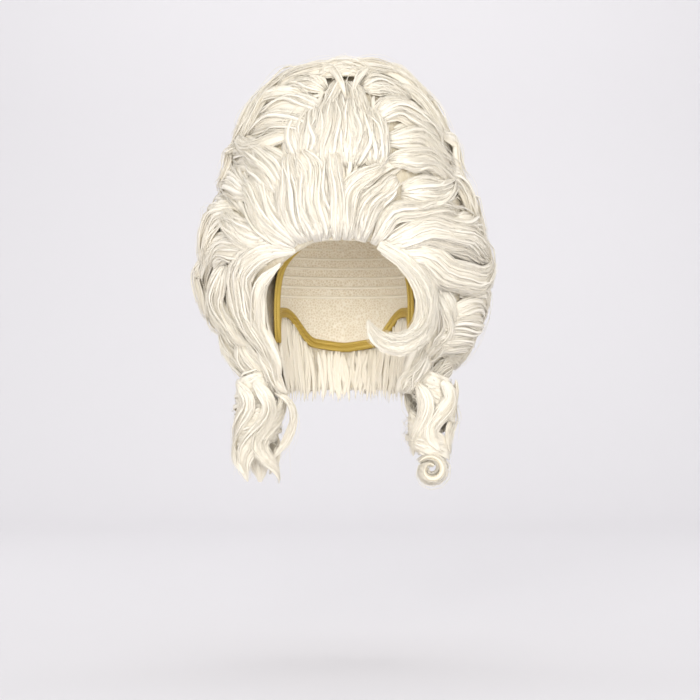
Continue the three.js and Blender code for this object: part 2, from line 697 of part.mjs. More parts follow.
// A ringlet is a flat lock wound round an upright axis.
function ringletSolid({ x, top, bottom, turns, start, radius, hand }, grow) {
  const stations = Array.from({ length: RINGLET_STEPS + 1 }, (_, i) => {
    const t = i / RINGLET_STEPS;
    const turn = radians(start) + hand * 2 * Math.PI * turns * t;
    const facing = new THREE.Vector3(Math.cos(turn), Math.sin(turn), 0);
    const place = new THREE.Vector3(x, -RINGLET_AHEAD, mix(top, bottom, t));
    return { place: place.addScaledVector(facing, radius * mix(0.8, 1, Math.min(1, 3 * t))), facing };
  });
  return sweepSolid(stations, RINGLET_RIBBON, RINGLET_THICKNESS, grow);
}

// The left ringlet has a thin lock beside it, between it and the neck.
function leftRinglet(grow) {
  const wound = ringletSolid(
    {
      x: -ringletOut,
      top: -HAIR_DROP + RINGLET_RIBBON / 2,
      bottom: ringletEnd + RINGLET_RIBBON / 3,
      turns: RINGLET_TURNS,
      start: 20,
      radius: ringletRadius,
      hand: -1,
    },
    grow,
  );
  const knots = STRAY_LOCK.map(
    ({ inward, down }) =>
      new THREE.Vector3(
        (inward - 1) * ringletOut,
        -RINGLET_AHEAD - RINGLET_THICKNESS,
        -HAIR_DROP - down * RINGLET_DROP,
      ),
  );
  const facing = new THREE.Vector3(0, -1, 0);
  const stations = new THREE.CatmullRomCurve3(knots, false, "centripetal")
    .getPoints(LOCK_STEPS)
    .map((place) => ({ place, facing }));
  return wound.add(sweepSolid(stations, STRAY_WIDTH, RINGLET_THICKNESS, grow));
}

// The right ringlet ends in a roll that shows its end to the front.
function rightRinglet(grow) {
  const rollRadius = (ROLL_WIDTH - ROLL_THICKNESS) / 2;
  const rollMiddle = ringletEnd + ROLL_WIDTH / 2;
  const wound = ringletSolid(
    {
      x: ringletOut,
      top: -HAIR_DROP + RINGLET_RIBBON / 2,
      bottom: rollMiddle + rollRadius,
      turns: RINGLET_TURNS * 0.66,
      start: 160,
      radius: ringletRadius,
      hand: 1,
    },
    grow,
  );
  const stations = Array.from({ length: RINGLET_STEPS / 2 + 1 }, (_, i) => {
    const t = (2 * i) / RINGLET_STEPS;
    const turn = radians(150 - 460 * t);
    const facing = new THREE.Vector3(Math.cos(turn), 0, Math.sin(turn));
    const place = new THREE.Vector3(ringletOut, -RINGLET_AHEAD - RINGLET_THICKNESS, rollMiddle);
    return { place: place.addScaledVector(facing, rollRadius * mix(1, 0.35, t)), facing };
  });
  return wound.add(sweepSolid(stations, ROLL_DEPTH, ROLL_THICKNESS, grow, ROLL_SHAPE));
}

// The pieces

const hairMaterial = (name, color) =>
  new THREE.MeshStandardMaterial({ name, color, roughness: 0.6, metalness: 0 });

const wig = new THREE.Group();
wig.name = "powdered_wig";

function addPiece(name, solid, material) {
  const { vertProperties, triVerts } = solid.getMesh();
  const geometry = new THREE.BufferGeometry();
  geometry.setAttribute("position", new THREE.BufferAttribute(new Float32Array(vertProperties), 3));
  geometry.setIndex(new THREE.BufferAttribute(new Uint32Array(triVerts), 1));
  geometry.computeVertexNormals();
  const piece = new THREE.Mesh(geometry, material);
  piece.name = name;
  wig.add(piece);
}

const cap = capSolid(0, CAP_WALL);
const capClear = capSolid(-GAP, CAP_WALL + GAP, 1 + GAP / CROWN_DEPTH);
const tape = mainBody(tapeBar(0).subtract(capClear));
const tapeClear = tapeBar(GAP);

const headClear = headRoom(CAP_WALL + GAP);
const faceClear = faceRoom();
const core = coreMass(0).subtract(headClear).subtract(tapeClear).subtract(faceClear);
const coreClear = coreMass(GAP);

// The core is stuffed in four pads: one on top, one on each side and one behind the head.
const far = 2 * (PILE_HEIGHT + HAIR_DROP);
const topPad = blockSolid([-far, -far, TOP_PAD_RISE], [far, far, far]);
const backPad = blockSolid([-far, BACK_PAD_START, -far], [far, far, TOP_PAD_RISE - GAP]);
const leftPad = blockSolid([-far, -far, -far], [-GAP / 2, BACK_PAD_START - GAP, TOP_PAD_RISE - GAP]);
const rightPad = blockSolid([GAP / 2, -far, -far], [far, BACK_PAD_START - GAP, TOP_PAD_RISE - GAP]);

addPiece("wig_cap", cap, hairMaterial("cotton_net", 0xc9b27a));
addPiece(
  "cap_tape",
  tape,
  new THREE.MeshStandardMaterial({ name: "gold_tape", color: 0xc9a83c, roughness: 0.4, metalness: 0.3 }),
);
const pads = { top: topPad, back: backPad, left: leftPad, right: rightPad };
for (const [side, pad] of Object.entries(pads)) {
  const stuffing = mainBody(core.intersect(pad));
  addPiece(`hair_core_${side}`, stuffing, hairMaterial("backcombed_hair", 0xcdbf9f));
}

// Each group of locks is one body. It keeps clear of the core and of the groups made before it.
const groups = {
  hairline_fan: (grow) => joinLocks("hairline_fan", grow),
  left_front_sweep: (grow) => joinLocks("left_front_sweep", grow),
  right_front_sweep: (grow) => joinLocks("right_front_sweep", grow),
  cheek_curl: cheekCurl,
  left_temple_lock: (grow) => joinLocks("left_temple_lock", grow),
  right_temple_bowl: (grow) => joinLocks("right_temple_bowl", grow),
  right_barrel_curl: (grow) => joinLocks("right_barrel_curl", grow),
  left_ringlet: leftRinglet,
  right_ringlet: rightRinglet,
};
for (const name of Object.keys(LOCKS)) groups[name] ??= (grow) => joinLocks(name, grow);

function joinLocks(name, grow) {
  const locks = LOCKS[name].map((lock, order) => lockSolid(lock, order, grow));
  return locks.reduce((all, lock) => all.add(lock));
}

const FREE_OF_FACE = ["cheek_curl", "left_ringlet", "right_ringlet"];
let taken = coreClear.add(headClear).add(tapeClear);
for (const [name, build] of Object.entries(groups)) {
  const free = build(0).subtract(taken);
  const clear = FREE_OF_FACE.includes(name) ? free : free.subtract(faceClear);
  addPiece(name, mainBody(clear), hairMaterial("powdered_hair", 0xefece0));
  taken = taken.add(build(GAP)).add(build(0));
}

export default wig;
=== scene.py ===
# %% [markdown]
# # A powdered wig of the 1770s
# A tall, near-white wig: a net cap bound in gold tape, a backcombed pile, and locks of hair laid
# over it. The imported model gives the frame. New pieces stand in for its nodes, which are then
# hidden, and a few more pieces are added between them.
# The face looks along -Y, +Z is up and the origin is the inside of the cap's crown.

# %% Load the frame
import math

import bpy
import numpy as np
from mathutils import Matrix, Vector


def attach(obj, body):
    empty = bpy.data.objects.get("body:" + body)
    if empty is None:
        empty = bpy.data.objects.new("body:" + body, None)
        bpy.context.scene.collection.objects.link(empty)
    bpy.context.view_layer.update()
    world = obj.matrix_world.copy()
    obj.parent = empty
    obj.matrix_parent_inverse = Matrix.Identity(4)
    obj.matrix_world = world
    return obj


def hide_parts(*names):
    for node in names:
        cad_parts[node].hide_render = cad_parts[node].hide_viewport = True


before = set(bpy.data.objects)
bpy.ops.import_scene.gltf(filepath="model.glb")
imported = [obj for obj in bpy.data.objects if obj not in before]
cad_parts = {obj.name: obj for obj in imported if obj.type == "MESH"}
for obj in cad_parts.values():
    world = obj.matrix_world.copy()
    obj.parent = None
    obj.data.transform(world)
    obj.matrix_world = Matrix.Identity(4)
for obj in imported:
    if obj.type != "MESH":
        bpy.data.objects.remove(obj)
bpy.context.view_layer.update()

bpy.ops.object.select_all(action="DESELECT")
MM = 0.001

# %% [markdown]
# ## The camera
# The photograph was taken level, from about 2.4 m. One of its 700 pixels spans 1.1 mm at the
# middle of the wig. The lens angle follows from those two numbers, so nothing is fitted by eye.

# %% The camera
CAMERA_AWAY = 2.4
FRAME_WIDTH = 700 * 1.1 * MM
FRAME_MIDDLE = Vector((6.6, 0, -157)) * MM

bpy.ops.object.camera_add(
    location=FRAME_MIDDLE - Vector((0, CAMERA_AWAY, 0)), rotation=(math.pi / 2, 0, 0)
)
camera = bpy.context.object
camera.data.sensor_width = 36
camera.data.lens = 36 * CAMERA_AWAY / FRAME_WIDTH
bpy.context.scene.camera = camera
print("lens: %.1f mm" % camera.data.lens)

# %% [markdown]
# ## The studio
# A photographer hangs a roll of pale paper and lets it run out over the table, so that no edge
# shows. Here a plane is the floor, and its far edge is extruded up in steps that follow a quarter
# circle. The table's top is where the photograph shows it, 0.5 m below the crown.

# %% The paper sweep
FLOOR_Z = -0.498
SWEEP_START = 1.8
SWEEP_RADIUS = 0.9
SWEEP_STEPS = 16

bpy.ops.mesh.primitive_plane_add(size=2, location=(0, 0, FLOOR_Z))
paper = bpy.context.object
paper.name = "paper_sweep"
paper.scale = (6, 6, 1)
bpy.ops.object.transform_apply(location=True, rotation=False, scale=True)
for vertex in paper.data.vertices:
    vertex.co.y = SWEEP_START if vertex.co.y > 0 else -5


def select_edge(obj, test):
    """In edit mode, only the edges whose two ends pass the test are selected."""
    bpy.ops.object.mode_set(mode="EDIT")
    bpy.ops.mesh.select_all(action="DESELECT")
    bpy.ops.object.mode_set(mode="OBJECT")
    for edge in obj.data.edges:
        edge.select = all(test(obj.data.vertices[v].co) for v in edge.vertices)
    bpy.ops.object.mode_set(mode="EDIT")
    bpy.ops.mesh.select_mode(type="EDGE")


select_edge(paper, lambda co: co.y > SWEEP_START - 0.01)
for step in range(SWEEP_STEPS):
    a, b = (math.pi / 2 * (step + s) / SWEEP_STEPS for s in (0, 1))
    move = (
        0, SWEEP_RADIUS * (math.sin(b) - math.sin(a)), SWEEP_RADIUS * (math.cos(a) - math.cos(b))
    )
    bpy.ops.mesh.extrude_region_move(TRANSFORM_OT_translate={"value": move})
bpy.ops.mesh.extrude_region_move(TRANSFORM_OT_translate={"value": (0, 0, 4)})
bpy.ops.mesh.select_all(action="SELECT")
bpy.ops.mesh.normals_make_consistent(inside=False)
bpy.ops.object.mode_set(mode="OBJECT")
bpy.ops.object.shade_smooth()
print("paper faces:", len(paper.data.polygons))

# %% [markdown]
# ## Helpers for materials
# Colours are picked as sRGB hex values, as an image editor shows them, and the shader works in
# linear light, so one function turns one into the other. Another adds a node with its settings
# and links, which keeps each material below short enough to read.


# %% Colour and node helpers
def linear(hex_colour):
    """An sRGB hex colour as linear RGBA."""
    parts = [int(hex_colour[i : i + 2], 16) / 255 for i in (1, 3, 5)]
    return tuple(c / 12.92 if c <= 0.04045 else ((c + 0.055) / 1.055) ** 2.4 for c in parts) + (1,)


def new_material(name):
    material = bpy.data.materials.new(name)
    material.use_nodes = True
    return material, material.node_tree.nodes["Principled BSDF"]


def add_node(material, kind, links=None, **settings):
    """Adds a node. Links are input names or numbers with a value or another node's output."""
    node = material.node_tree.nodes.new(kind)
    for name, value in settings.items():
        setattr(node, name, value)
    for key, value in (links or {}).items():
        if isinstance(value, bpy.types.NodeSocket):
            material.node_tree.links.new(value, node.inputs[key])
        else:
            node.inputs[key].default_value = value
    return node


def set_stops(ramp, stops):
    """A colour ramp's stops, from pairs of a place and a colour."""
    elements = ramp.color_ramp.elements
    while len(elements) > 1:
        elements.remove(elements[-1])
    elements[0].position, elements[0].color = stops[0]
    for place, colour in stops[1:]:
        elements.new(place).color = colour


def connect(material, output, target):
    material.node_tree.links.new(output, target)


# %% Paper
# Matt coated background paper: it scatters all light, and shows no grain at this distance.
paper_white, surface = new_material("background_paper")
surface.inputs["Base Color"].default_value = linear("#e1dfe1")
surface.inputs["Roughness"].default_value = 0.9
surface.inputs["Specular IOR Level"].default_value = 0.1
paper.data.materials.append(paper_white)

# %% [markdown]
# ## Powdered hair
# Hair is glossy along each fibre, and powder or a matt modacrylic takes most of that gloss away.
# Light bounces from one pale fibre to the next, so the shadows between locks stay light and warm.
# Subsurface scattering would be the textbook way, but it greys fibres that are thinner than its
# reach. Here a very light base colour lets real bounces do it, with a soft sheen and a roughness
# near 0.6. Each fibre carries a shade as an attribute. Part of it is a tone that differs at random,
# because real hair is never all one colour. The rest is painted shade: darker in the valleys between
# clumps, under the locks and in the deeper layers of hair, and lighter on the crests and on one
# side of each tube. The fine streaks run along the UV map, which follows each lock.

# %% Powdered hair
# Ivory fibres: the ramp turns the painted shade into colour, slightly yellow where the fibres lie deep or
# underneath, and almost white on the crests and the outermost fibres.
powdered_hair, surface = new_material("powdered_hair")
shade = add_node(powdered_hair, "ShaderNodeAttribute", attribute_name="shade")
uv = add_node(powdered_hair, "ShaderNodeUVMap", uv_map="along_lock")
FIBRE_STREAKS = 380  # a metre: bundles 2.6 mm apart, and four finer layers down to single fibres
stretch = add_node(
    powdered_hair,
    "ShaderNodeMapping",
    {"Vector": uv.outputs["UV"], "Scale": (9, FIBRE_STREAKS, 1)},
)
streaks = add_node(
    powdered_hair,
    "ShaderNodeTexNoise",
    {"Vector": stretch.outputs["Vector"], "Scale": 1.0, "Detail": 4.0, "Roughness": 0.7},
)
# The streaks also lighten the colour where their bump is high and deepen it where it is low: partly a tone
# that differs from bundle to bundle, partly painted shade in the grooves between bundles.
spread = add_node(
    powdered_hair, "ShaderNodeMapRange", {
        0: streaks.outputs["Fac"], 1: 0.28, 2: 0.72, 3: -0.04, 4: 0.38
    }
)
# Here the shade attribute, random tone and painted shade, is added to the streaks.
tone_with_painted_shade = add_node(
    powdered_hair, "ShaderNodeMath", {
        0: spread.outputs["Result"], 1: shade.outputs["Fac"]
    }, operation="ADD"
)
colour = add_node(powdered_hair, "ShaderNodeValToRGB", {"Fac": tone_with_painted_shade.outputs["Value"]})
set_stops(
    colour,
    [
        (0.0, linear("#e6dbc4")),
        (0.3, linear("#eee6d3")),
        (0.6, linear("#f3ecdd")),
        (0.95, linear("#f7f2e7")),
    ],
)
connect(powdered_hair, colour.outputs["Color"], surface.inputs["Base Color"])
relief = add_node(
    powdered_hair,
    "ShaderNodeBump",
    {"Height": streaks.outputs["Fac"], "Strength": 0.15, "Distance": 0.0006},
)
connect(powdered_hair, relief.outputs["Normal"], surface.inputs["Normal"])
surface.inputs["Roughness"].default_value = 0.62
surface.inputs["IOR"].default_value = 1.55
surface.inputs["Specular IOR Level"].default_value = 0.3
surface.inputs["Sheen Weight"].default_value = 0.45
surface.inputs["Sheen Roughness"].default_value = 0.6
surface.inputs["Sheen Tint"].default_value = linear("#fffaf0")
print("materials:", [m.name for m in bpy.data.materials])

# %% [markdown]
# ## The form under the hair
# A wigmaker backcombs hair into a firm pile and lays the show locks over it. The pile is a stack of
# ovals, so a table gives each oval's height and its reach to the sides, the front and the back, and
# a smooth curve runs through the rows. Azimuth 0 is the middle of the face and 90 is towards +X.
# A place on the pile is then two numbers, an azimuth and a fall from 0 at the peak to 1 at the
# lower edge, and every lock is drawn in those two.

# %% The pile's surface
CROWN_UP, HAIR_DROP = 150, 203  # mm from the crown up to the peak, and down to the lower edge
SIDE_REACH, FRONT_REACH, BACK_REACH = 151, 112, 155  # mm, the fullest of each
PILE = [
    # fall, level, side, front and back, as shares of the lengths above
    (0.0, 1.0, 0.0, -8 / FRONT_REACH, 8 / BACK_REACH),
    (0.1, 0.94, 0.305, 0.36, 0.36),
    (0.2, 0.76, 0.543, 0.7, 0.595),
    (0.3, 0.507, 0.695, 0.92, 0.755),
    (0.4, 0.233, 0.781, 1.0, 0.85),
    (0.5, -0.03, 0.9, 0.964, 0.935),
    (0.6, -0.246, 0.993, 0.848, 0.994),
    (0.7, -0.468, 0.987, 0.67, 1.0),
    (0.8, -0.68, 0.9, 0.554, 0.916),
    (0.9, -0.862, 0.735, 0.446, 0.76),
    (1.0, -1.0, 0.596, 0.357, 0.632),
]
pile = np.array(
    [
        (
            fall,
            level * (CROWN_UP if level > 0 else HAIR_DROP),
            side * SIDE_REACH,
            front * FRONT_REACH,
            back * BACK_REACH,
        )
        for fall, level, side, front, back in PILE
    ]
)


def read_pile(column, fall):
    """A column of the pile's table at each fall, on a smooth curve through its rows."""
    keys, values = pile[:, 0], pile[:, column]
    last = len(keys) - 1
    i = np.clip(np.searchsorted(keys, fall) - 1, 0, last - 1)
    before, after = np.maximum(i - 1, 0), np.minimum(i + 2, last)
    span = keys[i + 1] - keys[i]
    t = (fall - keys[i]) / span
    slope_in = (values[i + 1] - values[before]) / (keys[i + 1] - keys[before]) * span
    slope_out = (values[after] - values[i]) / (keys[after] - keys[i]) * span
    t2, t3 = t * t, t * t * t
    return (
        values[i] * (2 * t3 - 3 * t2 + 1)
        + slope_in * (t3 - 2 * t2 + t)
        + values[i + 1] * (3 * t2 - 2 * t3)
        + slope_out * (t3 - t2)
    )


def pile_point(azimuth, fall):
    """Places on the pile in mm."""
    a = np.radians(azimuth)
    z, side, front, back = (read_pile(column, fall) for column in (1, 2, 3, 4))
    x = side * np.sin(a)
    y = (back - front) / 2 - (back + front) / 2 * np.cos(a)
    return np.stack([x, y, z], axis=-1)


def unit(vectors):
    return vectors / np.maximum(np.linalg.norm(vectors, axis=-1, keepdims=True), 1e-9)


def pile_normal(azimuth, fall):
    """The direction in which the pile faces."""
    at = np.clip(fall, 0.02, 0.98)
    across = pile_point(azimuth + 1, at) - pile_point(azimuth - 1, at)
    down = pile_point(azimuth, at + 0.01) - pile_point(azimuth, at - 0.01)
    return unit(np.cross(down, across))


def surface_step(azimuth, fall, step):
    """The change of azimuth and fall that moves a place on the pile by a step in mm."""
    by_azimuth = (pile_point(azimuth + 1, fall) - pile_point(azimuth - 1, fall)) / 2
    by_fall = (pile_point(azimuth, fall + 0.01) - pile_point(azimuth, fall - 0.01)) / 0.02
    aa, ff = (by_azimuth**2).sum(-1), (by_fall**2).sum(-1)
    af = (by_azimuth * by_fall).sum(-1)
    a, f = (by_azimuth * step).sum(-1), (by_fall * step).sum(-1)
    scale = aa * ff - af * af
    return (a * ff - f * af) / scale, (f * aa - a * af) / scale


print("pile at the brow, mm:", pile_point(np.array(0.0), np.array(0.58)).round(1))

# %% [markdown]
# ## How a lock is built
# A lock is some hundreds of fibres that lie side by side, gathered in a few clumps that wander
# along it. Real fibres by the hundred thousand would be too heavy to share, so each lock here is a
# ridged body, one ridge for a clump, with some tens of thicker strands on it that break its edge
# and its gloss as loose fibres do. Both follow the same route, so a lock is first turned into a
# function that gives a place from three numbers: how far along, how far across, how far up.

# %% Routes
LOCK_WIDTH, LOCK_HEIGHT = 36, 11  # mm
LOCK_BASE, LOCK_OVERLAP = 1.5, 0.9  # mm off the pile, and over the neighbour
ROUTE_SCALE = 180


def spline(knots, t):
    """Places on a smooth curve through the knots, at shares t of the way."""
    knots = np.asarray(knots, dtype=float)
    last = len(knots) - 1
    ends = np.vstack([2 * knots[0] - knots[1], knots, 2 * knots[-1] - knots[-2]])
    at = np.clip(t, 0, 1) * last
    i = np.minimum(at.astype(int), last - 1)
    w = (at - i)[..., None]
    p0, p1, p2, p3 = (ends[i + k] for k in range(4))
    d0, d1, d2 = (
        np.maximum(np.linalg.norm(b - a, axis=-1, keepdims=True) ** 0.5, 1e-3)
        for a, b in ((p0, p1), (p1, p2), (p2, p3))
    )
    into = ((p1 - p0) / d0 - (p2 - p0) / (d0 + d1) + (p2 - p1) / d1) * d1
    out = ((p2 - p1) / d1 - (p3 - p1) / (d1 + d2) + (p3 - p2) / d2) * d1
    w2, w3 = w * w, w * w * w
    return (
        p1 * (2 * w3 - 3 * w2 + 1) + into * (w3 - 2 * w2 + w) + p2 * (3 * w2 - 2 * w3)
            + out * (w3 - w2)
    )


def fullness(t, root=0.5, tip=0.22):
    """How full a lock is along its length: gathered at the root, full, then fine at the tip."""
    return np.interp(t, [0, 0.12, 0.3, 0.7, 0.88, 1], [root, 0.78, 1, 0.95, 0.62, tip])


def finish_lock(place, half, tall, under=0, root=0.5, tip=0.25, flick=0.0):
    """A lock is its way to give places, its sizes in mm, and whether it hangs free."""
    t = np.linspace(0, 1, 40)
    length = np.linalg.norm(np.diff(place(t, 0 * t, 0 * t), axis=0), axis=1).sum()
    sizes = dict(half=half, tall=tall, root=root, tip=tip, flick=flick, length=length)
    return dict(place=place, under=under, **sizes)


WAVE_HEIGHT, WAVE_LENGTH = 1.5, 56  # mm: the soft wave that set hair keeps


def pile_lock(azimuths, falls, lifts=(0,), width=1.0, high=1.0, order=0, flick=6.0, root=0.42):
    """A lock laid on the pile."""
    lifts = [lifts[min(i, len(lifts) - 1)] for i in range(len(azimuths))]
    knots = np.column_stack(
        [azimuths, np.array(falls) * ROUTE_SCALE, np.array(lifts) * LOCK_HEIGHT]
    )
    base = LOCK_BASE + (order % 3) * LOCK_OVERLAP
    path = spline(knots, np.linspace(0, 1, 40))
    reach = np.linalg.norm(
        np.diff(pile_point(path[:, 0], path[:, 1] / ROUTE_SCALE), axis=0), axis=1
    ).sum()

    def place(t, across, up):
        here = spline(knots, t)
        azimuth, fall = here[..., 0], here[..., 1] / ROUTE_SCALE
        ahead, behind = spline(knots, np.minimum(t + 0.01, 1)), spline(
            knots, np.maximum(t - 0.01, 0)
        )
        along = pile_point(ahead[..., 0], ahead[..., 1] / ROUTE_SCALE) - pile_point(
            behind[..., 0], behind[..., 1] / ROUTE_SCALE
        )
        side = unit(np.cross(along, pile_normal(azimuth, fall)))
        wave = WAVE_HEIGHT * np.sin(2 * np.pi * t * reach / WAVE_LENGTH + 2.1 * order)
        da, df = surface_step(azimuth, fall, side * (across + wave)[..., None])
        azimuth, fall = azimuth + da, np.clip(fall + df, 0.005, 1.06)
        rises = np.interp(t, [0, 0.06, 0.18, 0.9, 1], [0.1, 0.6, 1, 1, 0.55])
        lift = ((base + here[..., 2] + up) * rises)[..., None]
        return pile_point(azimuth, fall) + pile_normal(azimuth, fall) * lift

    return finish_lock(place, width * LOCK_WIDTH / 2, high * LOCK_HEIGHT, root=root, flick=flick)


def free_lock(centres, facings, width, thickness, root=0.55, tip=0.3):
    """A lock that hangs free: its route is given by places and the ways that it faces."""
    steps = np.linspace(0, 1, len(centres))
    along = unit(np.gradient(centres, axis=0))
    across_way = unit(np.cross(along, facings))
    out = unit(np.cross(across_way, along))

    def read(values, t):
        return np.stack([np.interp(t, steps, values[:, k]) for k in range(3)], axis=-1)

    def place(t, across, up):
        side, face = unit(read(across_way, t)), unit(read(out, t))
        return read(centres, t) + side * across[..., None] + face * up[..., None]

    return finish_lock(place, width / 2, thickness / 2, under=1, root=root, tip=tip)


# %% [markdown]
# ## The body of a lock
# The body is a grid of points, rings across by stations along, lower than the finished lock, so
# that it only fills it. A dome gives the roundness, and clumps are ridges whose valleys wander.

# %% Ridged bodies
BODY_STATIONS, BODY_ACROSS = 24, 17


def clump_lines(rng, count):
    """The clumps' middles across a lock, as a function of the way along it."""
    phase, pace = rng.uniform(0, 6.28, count), rng.uniform(0.5, 1.2, count)
    middles = -1 + 2 * (np.arange(count) + 0.5) / count

    def line(t, which):
        sway = np.sin(6.28 * pace[which] * t + phase[which])
        return middles[which] + sway * 0.6 / count

    return line


def ridge(t, across, line, count):
    """0 in the valleys between clumps and 1 on their crests."""
    near = np.full(np.broadcast(t, across).shape, 9.0)
    for which in range(count):
        near = np.minimum(near, np.abs(across - line(t, np.full(t.shape, which))))
    return np.clip(1 - (near * count) ** 2, 0, 1)


def dome(across):
    return np.sqrt(np.clip(1 - np.clip(np.abs(across), 0, 1) ** 2.4, 0, 1))


def grid_faces(first, rings, around):
    """Four-sided faces between rings of points, for many tubes at once."""
    row = (np.arange(rings - 1) * around)[None, :, None]
    k = np.arange(around)[None, None, :]
    a, b = first + row + k, first + row + (k + 1) % around
    return np.stack([a, a + around, b + around, b], axis=-1).reshape(-1, 4)


def body_arrays(lock, rng, line, count):
    """A lock's body as points, faces, shades and places on the UV map."""
    t = np.linspace(0, 1, BODY_STATIONS)[:, None]
    across = np.cos(np.linspace(0, np.pi, BODY_ACROSS))[None, :]
    t, across = np.broadcast_arrays(t, across)
    full = fullness(t, lock["root"], lock["tip"])
    crest = ridge(t, across, line, count)
    ends = np.interp(t, [0, 0.12, 0.8, 1], [0.35, 1, 1, 0.35])
    up = lock["tall"] * np.sqrt(full) * dome(across) * (0.68 + 0.09 * crest) * ends
    top = lock["place"](t, across * lock["half"] * full * 0.88, up)
    low_t, low_across = t[:, 1:-1:4], across[:, 1:-1:4]
    low_full = full[:, 1:-1:4]
    drop = -lock["under"] * lock["tall"] * np.sqrt(low_full) * np.sqrt(1 - low_across**2) * 0.7
    under = lock["place"](low_t, low_across * lock["half"] * low_full * 0.88, drop)
    rings = np.concatenate([top, under[:, ::-1]], axis=1)
    stations, around = rings.shape[:2]
    quads = grid_faces(np.zeros((1, 1, 1), int), stations, around)
    caps = [np.arange(around)[None, :], (stations - 1) * around + np.arange(around)[None, ::-1]]
    length = np.linalg.norm(np.diff(top[:, BODY_ACROSS // 2], axis=0), axis=1).sum()
    # Painted shade: the body is lighter on the clumps' crests and the middle of its dome, darker in the
    # valleys and towards its sides, and darker still on its underside.
    shade = np.concatenate(
        [0.26 + 0.12 * crest * dome(across), np.full(under.shape[:2], 0.2)], axis=1
    )
    u = np.concatenate([t, low_t[:, ::-1]], axis=1) * length * MM
    v = np.concatenate([across * full, low_across[:, ::-1] * low_full], axis=1) * lock["half"] * MM
    uv = np.stack([u, v + rng.uniform(0, 9)], axis=-1).reshape(-1, 2)
    return rings.reshape(-1, 3), quads, caps, shade.reshape(-1), uv


# %% [markdown]
# ## Tubes
# Tresses and strands are both tapered tubes with few sides, closed at their ends. One function
# makes any number of them at once from their middle lines, widths and heights.

# %% Tubes


def tube_arrays(centre, out, wide, high, sides, shade, u, v):
    """Tubes along middle lines, as points, faces, shades and places on the UV map."""
    amount, rings = centre.shape[:2]
    along = unit(np.gradient(centre, axis=1))
    side = unit(np.cross(along, out))
    out = np.cross(side, along)
    turn = np.linspace(0, 2 * np.pi, sides, endpoint=False)[None, None, :, None]
    points = (
        centre[:, :, None, :]
        + side[:, :, None, :] * wide[:, :, None, None] * np.cos(turn)
        + out[:, :, None, :] * high[:, :, None, None] * np.sin(turn)
    )
    first = (np.arange(amount) * rings * sides)[:, None, None]
    quads = grid_faces(first, rings, sides)
    root = first[:, 0] + np.arange(sides)
    tip = first[:, 0] + (rings - 1) * sides + np.arange(sides)[::-1]
    # Painted shade: each tube is a little lighter on the side its out way points to and darker on the
    # other; for tresses that is the side away from the pile.
    shades = shade[..., None] + 0.07 * np.sin(turn[..., 0])
    across = v[..., None] + wide[..., None] * np.cos(turn[..., 0]) * MM
    uv = np.stack([np.broadcast_to(u[..., None] * MM, across.shape), across], axis=-1)
    return points.reshape(-1, 3), quads, [root, tip], np.clip(shades, 0, 0.7).reshape(-1), uv.reshape(-1, 2)


# %% [markdown]
# ## Tresses
# Over the body lie tresses, the narrow tapered bundles into which combed hair parts by itself. Each
# follows a clump with a sway of its own, starts and ends where it likes, and leaves the others near
# its tip. They give a lock its depth: fine shadows between them, and an edge that isn't one line.

# %% Tresses
TRESS_STATIONS, TRESS_SIDES = 11, 5
TRESS_WIDTH, TRESS_HEIGHT = 4.6, 1.0  # mm


def tress_routes(lock, rng, line, count, amount, loose=0.14):
    """The middle lines of a lock's tresses, with their widths and heights."""
    which = rng.integers(0, count, amount)
    which[:count] = np.arange(count)[:amount]
    start = rng.uniform(0, 0.2, amount) ** 1.3
    start[:count] = rng.uniform(0, 0.02, count)[:amount]
    end = 1 - rng.uniform(0, 0.36, amount) ** 1.3
    share = np.linspace(0, 1, TRESS_STATIONS)[None, :]
    t = start[:, None] + (end - start)[:, None] * share
    sway = np.sin(
        6.28 * rng.uniform(0.6, 1.8, amount)[:, None] * t + rng.uniform(0, 6.28, amount)[:, None]
    )
    off = rng.normal(0, 0.42, amount)[:, None] / count
    leaves = (rng.random(amount) < loose)[:, None]
    part = rng.normal(0, 0.25, amount)[:, None] * (1 + 1.8 * leaves) * np.clip(t - 0.4, 0,
        1) ** 2 * 3
    across = line(t, np.broadcast_to(which[:, None], t.shape)) + off * 2 + 0.07 * sway + part
    across = np.clip(across, -0.98 - 0.5 * leaves, 0.98 + 0.5 * leaves)
    full = fullness(t, lock["root"], lock["tip"])
    size = rng.uniform(0.6, 1.3, amount)[:, None]
    taper = np.interp(share, [0, 0.1, 0.35, 0.7, 1], [0.5, 0.8, 1, 0.7, 0.08])
    wide = TRESS_WIDTH / 2 * size * taper * np.clip(lock["half"] / 15, 0.45, 1.1)
    high = TRESS_HEIGHT / 2 * size * np.sqrt(taper) * np.clip(lock["tall"] / 10, 0.5, 1)
    crest = ridge(t, across, line, count)
    bed = lock["tall"] * np.sqrt(full) * dome(across) * (0.7 + 0.09 * crest)
    stand = rng.uniform(-0.5, 0.7, amount)[:, None] * high
    flick = rng.uniform(0, 1, amount)[:, None] ** 2 * lock["flick"] * share**3
    bounce = leaves * rng.uniform(1.5, 5, amount)[:, None] * np.sin(np.pi * share) ** 1.5
    up = bed + stand + bounce + flick
    if lock["under"]:
        up = np.where(rng.random(amount)[:, None] < 0.4, -0.8 * up, up)
    return {
        "t": t, "across": across * lock["half"] * full, "up": up, "wide": wide, "high": high,
        "crest": crest,
    }


